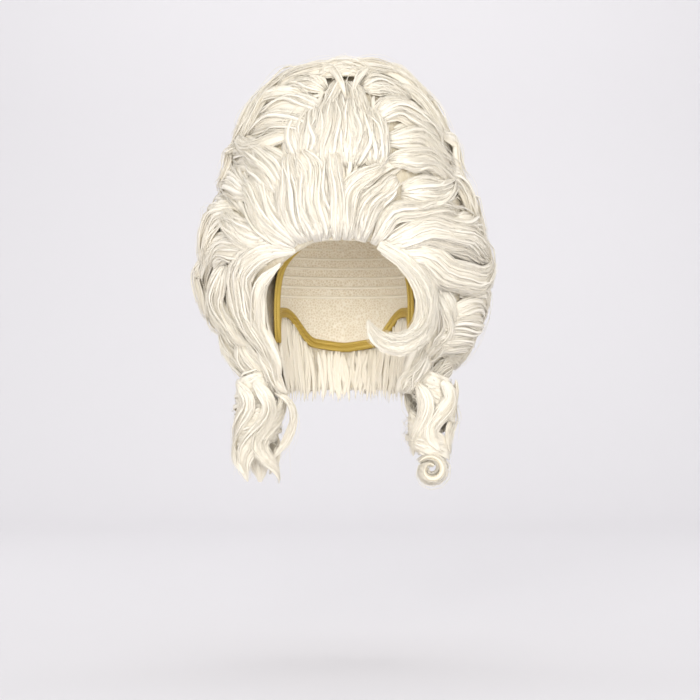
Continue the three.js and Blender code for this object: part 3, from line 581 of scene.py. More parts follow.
def tress_arrays(lock, rng, routes):
    """The tresses of a lock."""
    t, across, up = routes["t"], routes["across"], routes["up"]
    centre = lock["place"](t, across, up)
    out = unit(lock["place"](t, across, up + 1) - centre)
    # Painted shade with a random tone: tresses start a little deeper than the strands on them and are
    # lighter on the clumps' crests; the random part differs from tress to tress.
    shade = 0.32 + rng.normal(0, 0.04, len(t))[:, None] + 0.08 * routes["crest"]
    v = (across + rng.uniform(0, 9000, len(t))[:, None]) * MM
    return tube_arrays(
        centre, out, routes["wide"], routes["high"], TRESS_SIDES, shade, t * lock["length"], v
    )


# %% [markdown]
# ## Strands
# A strand is a tube with three sides, the least that is still closed. It rides on a tress and sways
# a little. A few are flyaways that leave the lock, as on any wig that has been handled.

# %% Strands
STRAND_STATIONS = 10
# mm: some four real hairs thick, so that it still shows at a millimetre a pixel
STRAND_RADIUS = 0.3


def strand_arrays(lock, rng, routes, strands, flyaways=0.08):
    """The strands of a lock."""
    owner = rng.integers(0, len(routes["t"]), strands)
    share = np.linspace(0, 1, STRAND_STATIONS)[None, :]
    cut = rng.uniform(0, 0.3, strands)[:, None]
    at = (cut + (1 - cut) * share) * (TRESS_STATIONS - 1)
    low = np.minimum(at.astype(int), TRESS_STATIONS - 2)
    rest = at - low

    def read(key):
        rows = routes[key][owner]
        return np.take_along_axis(rows, low, 1) * (1 - rest) + np.take_along_axis(rows, low + 1,
            1) * rest

    t, wide, high = read("t"), read("wide"), read("high")
    turn = rng.uniform(-0.1, 3.24, strands)[:, None]
    outwards = np.sign(read("up") + 1e-6) if lock["under"] else 1.0
    pace, phase = rng.uniform(1, 3, strands)[:, None], rng.uniform(0, 6.28, strands)[:, None]
    spread = rng.normal(0, 4, strands)[:, None] * np.clip(share - 0.4, 0, 1) ** 1.5
    across = read("across") + (wide + 0.6) * np.cos(turn) + 0.8 * np.sin(
        6.28 * pace * t + phase
    ) + spread
    up = read("up") + outwards * (
        (high + 0.2) * np.sin(turn) + rng.uniform(0, 0.6, strands)[:, None]
    )
    loose = (rng.random(strands) < flyaways)[:, None]
    rise = rng.uniform(1.5, 8, strands)[:, None] * np.sin(np.pi * share) ** 1.3
    across = np.where(loose, across + rng.normal(0, 10, strands)[:, None] * share**1.5, across)
    up = np.where(loose, up + outwards * rise, up)
    centre = lock["place"](t, across, up)
    out = unit(rng.normal(0, 1, (strands, 1, 3))) + 0 * centre
    taper = np.interp(share, [0, 0.12, 0.7, 1], [0.5, 1, 0.85, 0.12])
    radius = STRAND_RADIUS * rng.uniform(0.6, 1.25, strands)[:, None] * taper * np.where(loose,
        0.65, 1)
    # Strands lie outermost and get a lighter base than the tresses and bodies under them: painted shade on
    # the deeper layers, with a random tone for each strand.
    shade = 0.38 + rng.normal(0, 0.06, strands)[:, None] + 0 * t
    v = rng.uniform(0, 9, strands)[:, None] + 0 * t
    return tube_arrays(centre, out, radius, radius, 3, shade, t * lock["length"], v)


# %% [markdown]
# ## Joining arrays into a mesh
# All bodies and strands of one group go into one mesh. Its attributes carry the shade of each
# fibre, random tone and painted shade together, and its UV map follows the locks, so that the
# streaks in the hair's colour and bump run along them.

# %% The mesh of a group
def make_piece(name, parts, material):
    """One mesh from many arrays of points and faces."""
    points, loops, sizes, shades, uvs = [], [], [], [], []
    first = 0
    for part_points, quads, caps, shade, uv in parts:
        points.append(part_points)
        for faces in (quads, *caps):
            loops.append((faces + first).reshape(-1))
            sizes.append(np.full(len(faces), faces.shape[1]))
        shades.append(shade)
        uvs.append(uv)
        first += len(part_points)
    points, loops, sizes = np.concatenate(points) * MM, np.concatenate(loops), np.concatenate(sizes)
    mesh = bpy.data.meshes.new(name)
    mesh.vertices.add(len(points))
    mesh.vertices.foreach_set("co", points.reshape(-1).astype(np.float32))
    mesh.loops.add(len(loops))
    mesh.loops.foreach_set("vertex_index", loops.astype(np.int32))
    mesh.polygons.add(len(sizes))
    mesh.polygons.foreach_set("loop_start", (np.cumsum(sizes) - sizes).astype(np.int32))
    mesh.polygons.foreach_set("loop_total", sizes.astype(np.int32))
    mesh.update(calc_edges=True)
    mesh.validate()
    attribute = mesh.attributes.new("shade", "FLOAT", "POINT")
    attribute.data.foreach_set("value", np.concatenate(shades).astype(np.float32))
    layer = mesh.uv_layers.new(name="along_lock")
    layer.data.foreach_set("uv", np.concatenate(uvs)[loops].reshape(-1).astype(np.float32))
    mesh.shade_smooth()
    piece = bpy.data.objects.new(name, mesh)
    bpy.context.collection.objects.link(piece)
    mesh.materials.append(material)
    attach(piece, "root")
    triangles = int((sizes - 2).sum())
    print("%s: %d triangles" % (name, triangles))
    return piece


# %% [markdown]
# ## The locks of the front and the crown
# Each row is a lock: its azimuths in degrees, its falls, and where they differ from 1 its width and
# height as shares of 36 mm and 11 mm. They were read off the photograph, lock by lock, and they are
# the same routes as in the model's solids.

# %% The table of locks


def way_of(azimuths, falls, **shares):
    """A row of the table: a lock's way over the pile, and its sizes as shares of the usual ones."""
    return dict(azimuths=azimuths, falls=falls, **shares)


LOCKS = {
    "hairline_fan": [
        way_of([-9, -13, -17, -24], [0.582, 0.5, 0.41, 0.35]),
        way_of([-16, -23, -27, -30], [0.585, 0.5, 0.42, 0.36]),
        way_of([-2, -3, -4, -8], [0.58, 0.48, 0.4, 0.36], width=0.5, high=0.8),
        way_of([1, 3, 8, 22], [0.58, 0.48, 0.43, 0.4], width=0.7),
        way_of([6, 12, 20, 27], [0.582, 0.49, 0.45, 0.43], width=0.7),
    ],
    "left_front_sweep": [
        way_of([-20, -33, -45, -58], [0.595, 0.53, 0.46, 0.42], width=1.25, root=0.2),
        way_of([-32, -45, -55, -68], [0.59, 0.565, 0.54, 0.5], width=0.9),
        way_of([-27, -37, -50, -68], [0.47, 0.41, 0.37, 0.35], width=1.1, high=0.8),
    ],
    "right_front_sweep": [
        way_of([12, 20, 32, 48, 62], [0.59, 0.52, 0.505, 0.5, 0.51], width=0.7, root=0.3),
        way_of([28, 42, 55, 70], [0.46, 0.46, 0.45, 0.43], width=0.9),
        way_of([17, 32, 52, 75, 92], [0.595, 0.555, 0.56, 0.59, 0.62], root=0.25),
    ],
    "right_crown_sweep": [
        way_of([24, 45, 60, 78], [0.33, 0.32, 0.36, 0.4], width=0.8),
        way_of([18, 36, 52, 72], [0.27, 0.25, 0.28, 0.32], width=0.8),
        way_of([24, 38, 52, 70], [0.385, 0.375, 0.39, 0.45], width=0.7),
    ],
    "right_temple_bowl": [
        way_of([20, 33, 46, 62, 80, 96], [0.605, 0.615, 0.65, 0.665, 0.65, 0.61],
               lifts=[0.1, 0.2, 0.3, 0.4, 0.5, 0.8], width=0.9, root=0.25),
    ],
    "right_barrel_curl": [
        way_of([58, 82, 100, 86, 60], [0.7, 0.7, 0.78, 0.865, 0.86],
               lifts=[0.2, 0.35, 0.4, 0.3, 0.2], width=0.7),
    ],
    "left_temple_lock": [
        way_of([-20, -36, -46, -46, -41, -38], [0.605, 0.6, 0.66, 0.74, 0.83, 0.9],
               width=0.85, root=0.15),
    ],
    "crown_curls": [
        way_of(
            [-25, -50, -77, -84, -64, -40, -22],
            [0.2, 0.19, 0.225, 0.29, 0.345, 0.33, 0.31],
            lifts=[0.2, 0.3, 0.4, 0.4, 0.3, 0.2],
            width=0.55,
        ),
        way_of([-78, -52, -20, 6], [0.18, 0.13, 0.11, 0.12], lifts=[0.3], width=0.7),
        way_of([-4, 30, 62, 70], [0.12, 0.1, 0.13, 0.21], lifts=[0.35], width=0.7),
        way_of([2, -8, -12], [0.14, 0.21, 0.28], width=0.45, high=0.8),
        way_of([4, 9, 15], [0.15, 0.22, 0.3], width=0.45, high=0.8),
        way_of([-14, -34, -54], [0.175, 0.16, 0.17], width=0.8, high=0.8),
        way_of([14, 32, 56], [0.17, 0.17, 0.21], width=0.9, high=0.8),
        way_of([-9, -7, -5], [0.41, 0.31, 0.2], width=1.1, high=0.6),
        way_of([5, 6, 6], [0.4, 0.31, 0.21], high=0.6),
        way_of([-24, -24, -20], [0.38, 0.31, 0.23], width=1.1, high=0.6),
        way_of([16, 17, 15], [0.4, 0.32, 0.24], width=0.9, high=0.6),
    ],
    "left_upper_waves": [
        way_of([-52, -76, -98, -98, -82], [0.35, 0.335, 0.37, 0.445, 0.48], width=0.85),
        way_of([-64, -84, -96, -92], [0.5, 0.5, 0.54, 0.62], width=0.9),
    ],
    "left_side_waves": [
        way_of([-58, -80, -96, -93, -80], [0.57, 0.61, 0.67, 0.745, 0.8]),
        way_of([-58, -66, -61, -55], [0.63, 0.7, 0.78, 0.84], width=0.8),
        way_of([-88, -76, -62, -56], [0.79, 0.88, 0.96, 1], width=0.9),
        way_of([-60, -62, -58, -52], [0.82, 0.88, 0.94, 1], width=0.9),
    ],
    "right_upper_waves": [
        way_of([72, 94, 106, 98, 80], [0.4, 0.41, 0.49, 0.57, 0.59], width=0.85),
        way_of([76, 95, 106, 104], [0.29, 0.31, 0.37, 0.46], width=0.9),
    ],
    "right_side_waves": [
        way_of([44, 51, 52, 46], [0.69, 0.76, 0.82, 0.88], width=0.9),
        way_of([48, 43, 42], [0.85, 0.92, 1], width=0.8),
        way_of([82, 68, 58], [0.86, 0.93, 1], width=0.9),
        way_of([96, 103, 99, 88], [0.64, 0.7, 0.78, 0.88], width=0.85),
    ],
}

# %% [markdown]
# The sides and the back aren't seen in the photograph. Such wigs are dressed in waves there, from
# the nape up to a ring of curls, so those locks are laid by loops.

# %% Locks of the sides and the back
for name, side in (("left_back_waves", -1), ("right_back_waves", 1)):
    LOCKS[name] = [
        way_of([side * (first + sway) for sway in (0, 10, 0, 10, 2)], falls, width=1.1)
        for first, falls in (
            (108, [0.28, 0.44, 0.6, 0.78, 0.95]),
            (124, [0.3, 0.47, 0.63, 0.8, 0.97]),
        )
    ]
LOCKS["back_waves"] = [
    dict(
        azimuths=[144 + 14.4 * n + sway for sway in (4, -5, 4, -5, 2)],
        falls=[0.9, 0.76, 0.62, 0.5, 0.4],
        width=1.15,
    )
    for n in range(6)
]
LOCKS["nape_curls"] = [
    way_of([142 + 19 * n + sway for sway in (-4, 3, 2)], [0.88, 0.94, 1], width=0.9)
    for n in range(5)
]
LOCKS["crown_back_curls"] = [
    dict(
        azimuths=[90 + 30 * n + sway for sway in (-12, 6, 14, 2)],
        falls=[0.06, 0.16, 0.27, 0.37],
        lifts=[0.2, 0.4, 0.4, 0.2],
        width=1.25,
    )
    for n in range(7)
]
print("groups:", len(LOCKS), "locks:", sum(len(rows) for rows in LOCKS.values()))

# %% Laying the locks
STRANDS, TRESSES, CLUMPS = 76, 24, 5  # for a lock 30 mm wide


def dress(name, locks, strands=STRANDS, tresses=TRESSES, flyaways=0.07):
    """The bodies, tresses and strands of a group, as one piece that stands for the CAD node."""
    parts = []
    for number, lock in enumerate(locks):
        rng = np.random.default_rng([1770, sum(map(ord, name)), number])
        share = min(lock["half"] / 15, 1.3)
        count = max(3, round(CLUMPS * share))
        line = clump_lines(rng, count)
        parts.append(body_arrays(lock, rng, line, count))
        routes = tress_routes(lock, rng, line, count, max(count, round(tresses * share)))
        parts.append(tress_arrays(lock, rng, routes))
        parts.append(strand_arrays(lock, rng, routes, int(strands * share), flyaways))
    piece = make_piece(name + "_hair", parts, powdered_hair)
    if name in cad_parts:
        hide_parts(name)
    return piece


AT_THE_BACK = (
    "back_waves", "nape_curls", "crown_back_curls", "left_back_waves", "right_back_waves"
)
for name, rows in LOCKS.items():
    locks = [pile_lock(order=order, **row) for order, row in enumerate(rows)]
    dress(name, locks, strands=44 if name in AT_THE_BACK else STRANDS)

# %% [markdown]
# ## The hair between the locks
# Under the show locks lies more hair, combed the same way. Its direction at a place is the average
# of the locks round it, the near ones counting most. A lock that runs up lies as one that runs down
# does, so each is turned to agree with the last step before they are averaged. A fill tress starts
# anywhere on the pile and takes short steps in that direction, as a leaf is carried by a stream.
# None may cross the face.

# %% The way the hair is combed
FACE_EDGE = [
    # drop below the hairline, half width, and share of the room at the temples
    (0.0, 0.4, 0.0),
    (0.05, 0.56, 0.1),
    (0.11, 0.76, 0.35),
    (0.19, 0.91, 0.7),
    (0.29, 1.01, 1.0),
    (0.39, 1.03, 1.0),
    (0.55, 1.01, 0.9),
    (0.67, 0.96, 0.4),
    (0.8, 0.88, 0.2),
    (0.98, 0.83, 0.0),
]
HEAD_HALF_WIDTH, HEAD_HALF_LENGTH = 75, 95  # mm
HAIRLINE = 42  # mm below the crown
FACE_BACK = -4  # mm: the opening for the face reaches back to here
TEMPLE_ROOM = (9, 2)  # mm, left and right


def over_face(points, clear=1.5):
    """Whether places lie in front of the opening for the face."""
    drops, halves, eases = np.array(FACE_EDGE).T
    drop = (-HAIRLINE - points[..., 2]) / (HAIR_DROP - HAIRLINE)
    room = np.where(points[..., 0] < 0, TEMPLE_ROOM[0], TEMPLE_ROOM[1])
    half = np.interp(drop, drops, halves) * HEAD_HALF_WIDTH + np.interp(drop, drops, eases) * room
    return (points[..., 1] < FACE_BACK) & (drop > -0.01) & (np.abs(points[..., 0]) < half + clear)


combed_at, combed_way = [], []
for rows in LOCKS.values():
    for row in rows:
        knots = np.column_stack([row["azimuths"], np.array(row["falls"]) * ROUTE_SCALE])
        route = spline(knots, np.linspace(0, 1, 24))
        places = pile_point(route[:, 0], route[:, 1] / ROUTE_SCALE)
        combed_at.append(places)
        combed_way.append(unit(np.gradient(places, axis=0)))
combed_at, combed_way = np.concatenate(combed_at), np.concatenate(combed_way)


def comb(azimuth, fall, steps, length):
    """Lines that follow the combing, as azimuths and falls, and how sure each line's way is."""
    rows, sure, way = [(azimuth, fall)], np.ones(len(azimuth)), None
    for _ in range(steps - 1):
        here = pile_point(azimuth, fall)
        far = ((here[:, None, :] - combed_at[None, :, :]) ** 2).sum(-1)
        if way is None:
            way = combed_way[far.argmin(axis=1)]
        weight = 1 / (far + 60) ** 2
        turned = weight * np.where(way @ combed_way.T < 0, -1, 1)
        mean = turned @ combed_way / weight.sum(1)[:, None]
        sure = np.minimum(sure, np.linalg.norm(mean, axis=1))
        way = unit(mean)
        da, df = surface_step(azimuth, fall, way * (length / steps)[:, None])
        azimuth, fall = azimuth + np.clip(da, -14, 14), np.clip(fall + df, 0.03, 1.0)
        rows.append((azimuth, fall))
    return np.stack([a for a, _ in rows], axis=1), np.stack([f for _, f in rows], axis=1), sure


# %% [markdown]
# A few thinner locks close the places where the show locks leave the pile bare: inside the loop at
# the left of the crown, at the edges, across the top, and beside the opening for the face. Small
# curls break the outline, and three locks lie across the peak, where the others begin.

# %% Locks between the show locks


def beside_face(side, falls, inset):
    """Azimuths of a route that keeps inset mm away from the opening for the face."""
    drops, halves, eases = np.array(FACE_EDGE).T
    falls = np.array(falls)
    drop = (-HAIRLINE - read_pile(1, falls)) / (HAIR_DROP - HAIRLINE)
    room = TEMPLE_ROOM[0] if side < 0 else TEMPLE_ROOM[1]
    x = np.interp(drop, drops, halves) * HEAD_HALF_WIDTH + np.interp(drop, drops,
        eases) * room + inset
    return list(side * np.degrees(np.arcsin(np.minimum(x / read_pile(2, falls), 1))))


EDGE_FALLS = [0.63, 0.67, 0.72, 0.78, 0.85, 0.92, 0.99]
BETWEEN = [
    way_of([-12, -36, -56, -74], [0.31, 0.275, 0.28, 0.305], width=0.8, high=0.7, root=0.2),
    way_of([-10, -32, -50, -66], [0.26, 0.23, 0.235, 0.26], width=0.8, high=0.6, root=0.2),
    way_of([-50, -66, -80, -92], [0.455, 0.43, 0.42, 0.44], high=0.8),
    way_of([-52, -66, -80, -92], [0.395, 0.385, 0.39, 0.41], width=0.9, high=0.7),
    way_of([-36, -16, 8, 26], [0.115, 0.085, 0.08, 0.1], lifts=[0.1, 0.2, 0.2, 0.1], width=0.7),
    way_of([-30, -10, 10, 30], [0.145, 0.12, 0.12, 0.15], lifts=[0.2, 0.4, 0.4, 0.2], width=0.6),
    way_of([24, 8, -9, -26], [0.133, 0.124, 0.124, 0.133], lifts=[0.2, 0.3, 0.3, 0.2], width=0.6),
    way_of([1, -5, -20], [0.22, 0.155, 0.125], lifts=[0.4, 0.6, 0.8], width=0.15, high=0.6),
    way_of([6, 11, 26], [0.23, 0.165, 0.13], lifts=[0.4, 0.6, 0.8], width=0.15, high=0.6),
    way_of([-12, 2, 16], [0.14, 0.135, 0.145], lifts=[0.6, 0.75, 0.6], width=0.5, high=0.8),
    way_of([-40, -50, -60, -70], [0.615, 0.6, 0.605, 0.64], width=0.7, high=0.7, root=0.2),
    way_of(beside_face(-1, EDGE_FALLS, 4), EDGE_FALLS, width=0.45, high=0.6, flick=0, root=0.15),
    way_of(beside_face(1, EDGE_FALLS, 4), EDGE_FALLS, width=0.45, high=0.6, flick=0, root=0.15),
    way_of([-47, -45, -43], [0.84, 0.92, 1], width=0.5, high=0.7, root=0.3),
    way_of([54, 65, 76, 87], [0.54, 0.532, 0.532, 0.55], width=0.7, high=0.8, root=0.3),
    way_of([57, 68, 75, 76], [0.15, 0.19, 0.25, 0.33], lifts=[0.1, 0.15, 0.15, 0.1], width=0.9),
    way_of([68, 76, 80, 78], [0.39, 0.43, 0.49, 0.55], lifts=[0.1, 0.15, 0.15, 0.1], width=0.9),
    way_of([-63, -72, -77, -76], [0.49, 0.52, 0.57, 0.65], lifts=[0.1, 0.15, 0.15, 0.1], width=0.9),
    # the turns of the roll at the right, level with the mouth
    way_of([46, 64, 82, 94], [0.755, 0.732, 0.735, 0.77], lifts=[0.1, 0.3, 0.4, 0.4],
           width=0.8, high=0.7, root=0.15),
    way_of([44, 60, 78, 91], [0.795, 0.772, 0.772, 0.8], lifts=[0.2, 0.5, 0.6, 0.4],
           width=0.8, high=0.7, root=0.15),
    way_of([44, 58, 74, 87], [0.835, 0.812, 0.81, 0.83], lifts=[0.1, 0.4, 0.5, 0.3],
           width=0.8, high=0.7, root=0.15),
]
EDGE_CURLS = [
    # azimuth and fall of small curls that break the outline
    (-84, 0.13), (-92, 0.24), (-86, 0.36), (-96, 0.52), (-90, 0.66),
    (84, 0.12), (92, 0.22), (86, 0.34), (97, 0.48), (98, 0.6),
]
for azimuth, fall in EDGE_CURLS:
    side = 1 if azimuth > 0 else -1
    ways = [azimuth - side * 10, azimuth + side * 2, azimuth - side * 3, azimuth + side * 4]
    falls = [fall - 0.05, fall - 0.01, fall + 0.045, fall + 0.1]
    BETWEEN.append(way_of(ways, falls, lifts=[0.1, 0.75, 0.5, 0.6], width=0.6, high=0.8, root=0.2))
for n in range(6):
    ways = [106 + 29.5 * n + sway for sway in (5, -4, 5, 0)]
    BETWEEN.append(way_of(ways, [0.29, 0.36, 0.43, 0.5], width=1.1, high=0.6, root=0.3))


PEAK_MIDDLE = 8  # mm behind the cap's crown
PEAK_HALF_WIDTH, PEAK_HALF_LENGTH, PEAK_HIGH = 46, 48, 9  # mm


def over_peak(y, sway):
    """A lock that lies across the peak, y mm behind its middle."""
    x = np.linspace(-PEAK_HALF_WIDTH, PEAK_HALF_WIDTH, 40)
    bow = sway * np.cos(np.pi * x / (2 * PEAK_HALF_WIDTH))
    outwards = (x / PEAK_HALF_WIDTH) ** 2 + ((y + bow) / PEAK_HALF_LENGTH) ** 2
    z = CROWN_UP + 1 - PEAK_HIGH * outwards
    centres = np.stack([x, PEAK_MIDDLE + y + bow, z], axis=-1)
    return free_lock(centres, np.tile((0.0, 0.0, 1.0), (40, 1)), width=34, thickness=13, root=0.3)


peak_locks = [over_peak(-18, 6), over_peak(4, -7), over_peak(24, 8)]
between = [pile_lock(order=order, **row) for order, row in enumerate(BETWEEN)]
dress("between_locks", between + peak_locks, strands=28, tresses=19)

# %% Fill tresses
FILL_TRESSES, FILL_STRANDS = 660, 300
SURE_ENOUGH = 0.55  # where the locks round a place agree on the way


def fill_lines(rng, amount, stations):
    """Combed lines all over the pile, none over the face."""
    tries = amount * 3
    azimuth, height = rng.uniform(-180, 180, tries), rng.uniform(0.04, 1, tries)
    azimuths, falls, sure = comb(azimuth, height, stations, rng.uniform(40, 90, tries))
    places = pile_point(azimuths, falls)
    kept = ~over_face(places).any(axis=1)
    moved = np.linalg.norm(np.diff(places, axis=1), axis=2).min(axis=1) > 1.0
    chosen = np.flatnonzero(kept & moved & (sure > SURE_ENOUGH))[:amount]
    return places[chosen], pile_normal(azimuths[chosen], falls[chosen])


def fill_arrays(rng, amount, stations, wide, high, lift, sides, shade):
    centre, out = fill_lines(rng, amount, stations)
    amount = len(centre)
    share = np.linspace(0, 1, stations)[None, :]
    taper = np.interp(share, [0, 0.2, 0.7, 1], [0.3, 1, 0.8, 0.1])
    size = rng.uniform(0.6, 1.3, amount)[:, None]
    raised = rng.uniform(lift[0], lift[1], amount)[:, None] * np.sin(np.pi * share) ** 0.7
    centre = centre + out * raised[..., None]
    tones = shade + rng.normal(0, 0.06, amount)[:, None] + 0 * share
    length = 80 * share + np.zeros((amount, 1))
    v = rng.uniform(0, 9, amount)[:, None] + 0 * share
    if sides == 3:
        out = unit(rng.normal(0, 1, (amount, 1, 3))) + 0 * centre
    return tube_arrays(
        centre, out, wide * size * taper, high * size * taper, sides, tones, length, v
    )


rng = np.random.default_rng(1774)
# The fill tresses lie under the show locks and get a deeper base as painted shade; the fill strands above
# them get a lighter one.
make_piece(
    "combed_fill",
    [
        fill_arrays(rng, FILL_TRESSES, 10, 3.8, 1.3, (0.3, 3.5), 5, 0.22),
        fill_arrays(rng, FILL_STRANDS, 10, 0.34, 0.34, (1.5, 6.5), 3, 0.34),
    ],
    powdered_hair,
)

# %% [markdown]
# ## Loose wisps
# A dressed wig is never quite tidy: small bunches of a few fibres leave the waves and curl by
# themselves. They soften the outline. Each follows the combing, lifts off and sways to its tip.

# %% Loose wisps
WISPS, WISP_FIBRES = 210, 4


def wisp_arrays(rng, amount, fibres):
    """Bunches of fibres that lift off the hair and curl towards their tips."""
    centre, out = fill_lines(rng, amount, 10)
    amount = len(centre)
    share = np.linspace(0, 1, 10)[None, :]
    side = unit(np.cross(np.gradient(centre, axis=1), out))
    lift = rng.uniform(6, 9, amount)[:, None] + rng.uniform(2, 9, amount)[:, None] * share**2
    turns, phase = rng.uniform(0.6, 1.6, amount)[:, None], rng.uniform(0, 6.28, amount)[:, None]
    sway = rng.uniform(2, 6, amount)[:, None] * share * np.sin(6.28 * turns * share + phase)
    dip = rng.uniform(1, 4, amount)[:, None] * share * np.cos(6.28 * turns * share + phase)
    centre = centre + out * (lift + dip)[..., None] + side * sway[..., None]
    centre, out, side = (np.repeat(values, fibres, axis=0) for values in (centre, out, side))
    apart = 1.0 - 0.5 * share
    off, rise = rng.normal(0, 0.9, (2, len(centre), 1)) * apart
    centre = centre + out * rise[..., None] + side * off[..., None]
    taper = np.interp(share, [0, 0.2, 0.7, 1], [0.4, 1, 0.8, 0.1]) * rng.uniform(
        0.22, 0.36, len(centre)
    )[:, None]
    # The wisps stand outside the hair and get the lightest base, as the layers under them carry painted
    # shade; the spread is a random tone.
    tones = 0.42 + rng.normal(0, 0.05, len(centre))[:, None] + 0 * share
    v = rng.uniform(0, 9, len(centre))[:, None] + 0 * share
    return tube_arrays(centre, out, taper, taper, 3, tones, 60 * share + 0 * v, v)


make_piece(
    "loose_wisps",
    [wisp_arrays(np.random.default_rng(1777), WISPS, WISP_FIBRES)],
    powdered_hair,
)

# %% [markdown]
# ## The lock over the cheek
# One lock leaves the hairline, swings out past the temple and hooks back over the cheek. It hangs
# free, so its route is given by places in space instead of places on the pile.

# %% The cheek curl
CHEEK_CURL = [
    # out, drop and ahead, as shares of half the head's width, HAIR_DROP and half its length
    (0.5, 0.222, 1.0),
    (0.92, 0.31, 0.88),
    (1.16, 0.44, 0.74),
    (1.2, 0.58, 0.74),
    (1.04, 0.7, 0.92),
    (0.74, 0.75, 1.06),
    (0.45, 0.71, 1.12),
    (0.33, 0.62, 1.13),
]
knots = [(out * HEAD_HALF_WIDTH, -ahead * HEAD_HALF_LENGTH, -drop * HAIR_DROP) for out, drop,
    ahead in CHEEK_CURL]
centres = spline(knots, np.linspace(0, 1, 60))
facings = unit(centres * (0.6, 1, 0))
cheek = free_lock(centres, facings, width=25, thickness=13, tip=0.08)
dress("cheek_curl", [cheek], strands=190, tresses=52, flyaways=0.03)

# %% [markdown]
# ## The ringlets
# A ringlet is a flat ribbon of hair wound round a finger and let go. The left one ends in open
# tips, with a thin stray lock beside it. The right one ends in a small roll that shows its end.
# Hair hangs inside each, and a few waved locks hang along its outside, as on a real one that has
# loosened: a bare spiral would look like wood shavings.

# %% Ringlets
RINGLET_OUT, RINGLET_AHEAD, RINGLET_DROP = 95, 5, 105  # mm
RINGLET_WIDTH, RINGLET_RIBBON, RINGLET_THICKNESS = 52, 36, 11  # mm
RINGLET_RADIUS = (RINGLET_WIDTH - RINGLET_THICKNESS) / 2
RINGLET_END = -HAIR_DROP - RINGLET_DROP


def wound_ribbon(x, top, bottom, turns, start, hand):
    """A ribbon wound round an upright axis."""
    t = np.linspace(0, 1, 90)
    turn = np.radians(start) + hand * 2 * np.pi * turns * t
    facings = np.stack([np.cos(turn), np.sin(turn), 0 * t], axis=-1)
    middle = np.stack([0 * t + x, 0 * t - RINGLET_AHEAD, top + (bottom - top) * t], axis=-1)
    reach = RINGLET_RADIUS * np.interp(t, [0, 1 / 3, 1], [0.8, 1, 1])
    centres = middle + facings * reach[:, None]
    return free_lock(centres, facings, RINGLET_RIBBON * 1.2, RINGLET_THICKNESS, root=0.75, tip=0.4)


def hanging_heart(x, top, bottom, width, tip):
    """Hair that hangs down inside a ringlet, so that its turns show hair and not a hole."""
    t = np.linspace(0, 1, 40)
    sway = 3 * np.sin(2 * np.pi * 1.3 * t)
    centres = np.stack([x + sway, 0 * t - RINGLET_AHEAD, top + (bottom - top) * t], axis=-1)
    return free_lock(centres, np.tile((0.0, -1.0, 0.0), (40, 1)), width, width * 0.8, tip=tip)


def hanging_wave(x, facing, top, bottom, width, waves, lean):
    """A thin lock that hangs along the outside of a ringlet and sways."""
    t = np.linspace(0, 1, 50)
    turn = np.radians(facing) + np.radians(lean) * np.sin(2 * np.pi * waves * t)
    facings = np.stack([np.sin(turn), -np.cos(turn), 0 * t], axis=-1)
    reach = RINGLET_RADIUS + 5 + 3 * np.sin(
        2 * np.pi * waves * t + 1
    ) - 12 * np.clip(t - 0.75, 0, 1)
    centres = np.array((x, -RINGLET_AHEAD, 0)) + facings * reach[:, None]
    centres[:, 2] = top + (bottom - top) * t
    return free_lock(centres, facings, width, 7, root=0.3, tip=0.1)


left = wound_ribbon(-RINGLET_OUT, -HAIR_DROP + 18, RINGLET_END + 34, 2.1, 20, -1)
left_waves = [
    hanging_wave(-RINGLET_OUT, facing, -HAIR_DROP + 12, RINGLET_END + 8 + rise, width, waves, 34)
    for facing, rise, width, waves in (
        (-52, 8, 20, 1.1), (-4, 0, 22, 0.9), (44, -3, 19, 1.2), (150, 6, 20, 1.0)
    )
]
left_heart = hanging_heart(-RINGLET_OUT, -HAIR_DROP + 10, RINGLET_END + 6, 30, 0.15)
stray_knots = [
    (
        (inward - 1) * RINGLET_OUT,
        -RINGLET_AHEAD - RINGLET_THICKNESS,
        -HAIR_DROP - down * RINGLET_DROP,
    )
    for inward, down in ((0.2, 0), (0.38, 0.12), (0.42, 0.32), (0.3, 0.56), (0.17, 0.7))
]
stray_centres = spline(stray_knots, np.linspace(0, 1, 40))
stray = free_lock(stray_centres, np.tile((0.0, -1.0, 0.0), (40, 1)), width=9, thickness=11)
dress("left_ringlet", [left, stray, left_heart, *left_waves], strands=110, tresses=32, flyaways=0.1)

ROLL_WIDTH, ROLL_DEPTH, ROLL_THICKNESS = 42, 36, 11  # mm
ROLL_RADIUS = (ROLL_WIDTH - ROLL_THICKNESS) / 2
roll_middle = RINGLET_END + ROLL_WIDTH / 2
right = wound_ribbon(RINGLET_OUT, -HAIR_DROP + 18, roll_middle + ROLL_RADIUS, 2.4 * 0.66, 160, 1)
t = np.linspace(0, 1, 60)
turn = np.radians(150 - 460 * t)
facings = np.stack([np.cos(turn), 0 * t, np.sin(turn)], axis=-1)
roll_centres = np.array((RINGLET_OUT, -RINGLET_AHEAD - RINGLET_THICKNESS,
    roll_middle)) + facings * (
    ROLL_RADIUS * (1 - 0.65 * t)
)[:, None]
roll = free_lock(roll_centres, facings, ROLL_DEPTH, ROLL_THICKNESS, tip=0.8)
right_heart = hanging_heart(RINGLET_OUT, -HAIR_DROP + 10, roll_middle + 6, 28, 0.75)
right_waves = [
    hanging_wave(RINGLET_OUT, facing, -HAIR_DROP + 12, roll_middle + 14 + rise, width, waves, 26)
    for facing, rise, width, waves in (
        (-38, 0, 17, 0.8), (24, 6, 19, 1.0), (84, 4, 18, 0.9), (-150, 0, 18, 1.0)
    )
]
dress(
    "right_ringlet",
    [right, roll, right_heart, *right_waves],
    strands=110,
    tresses=32,
    flyaways=0.08,
)

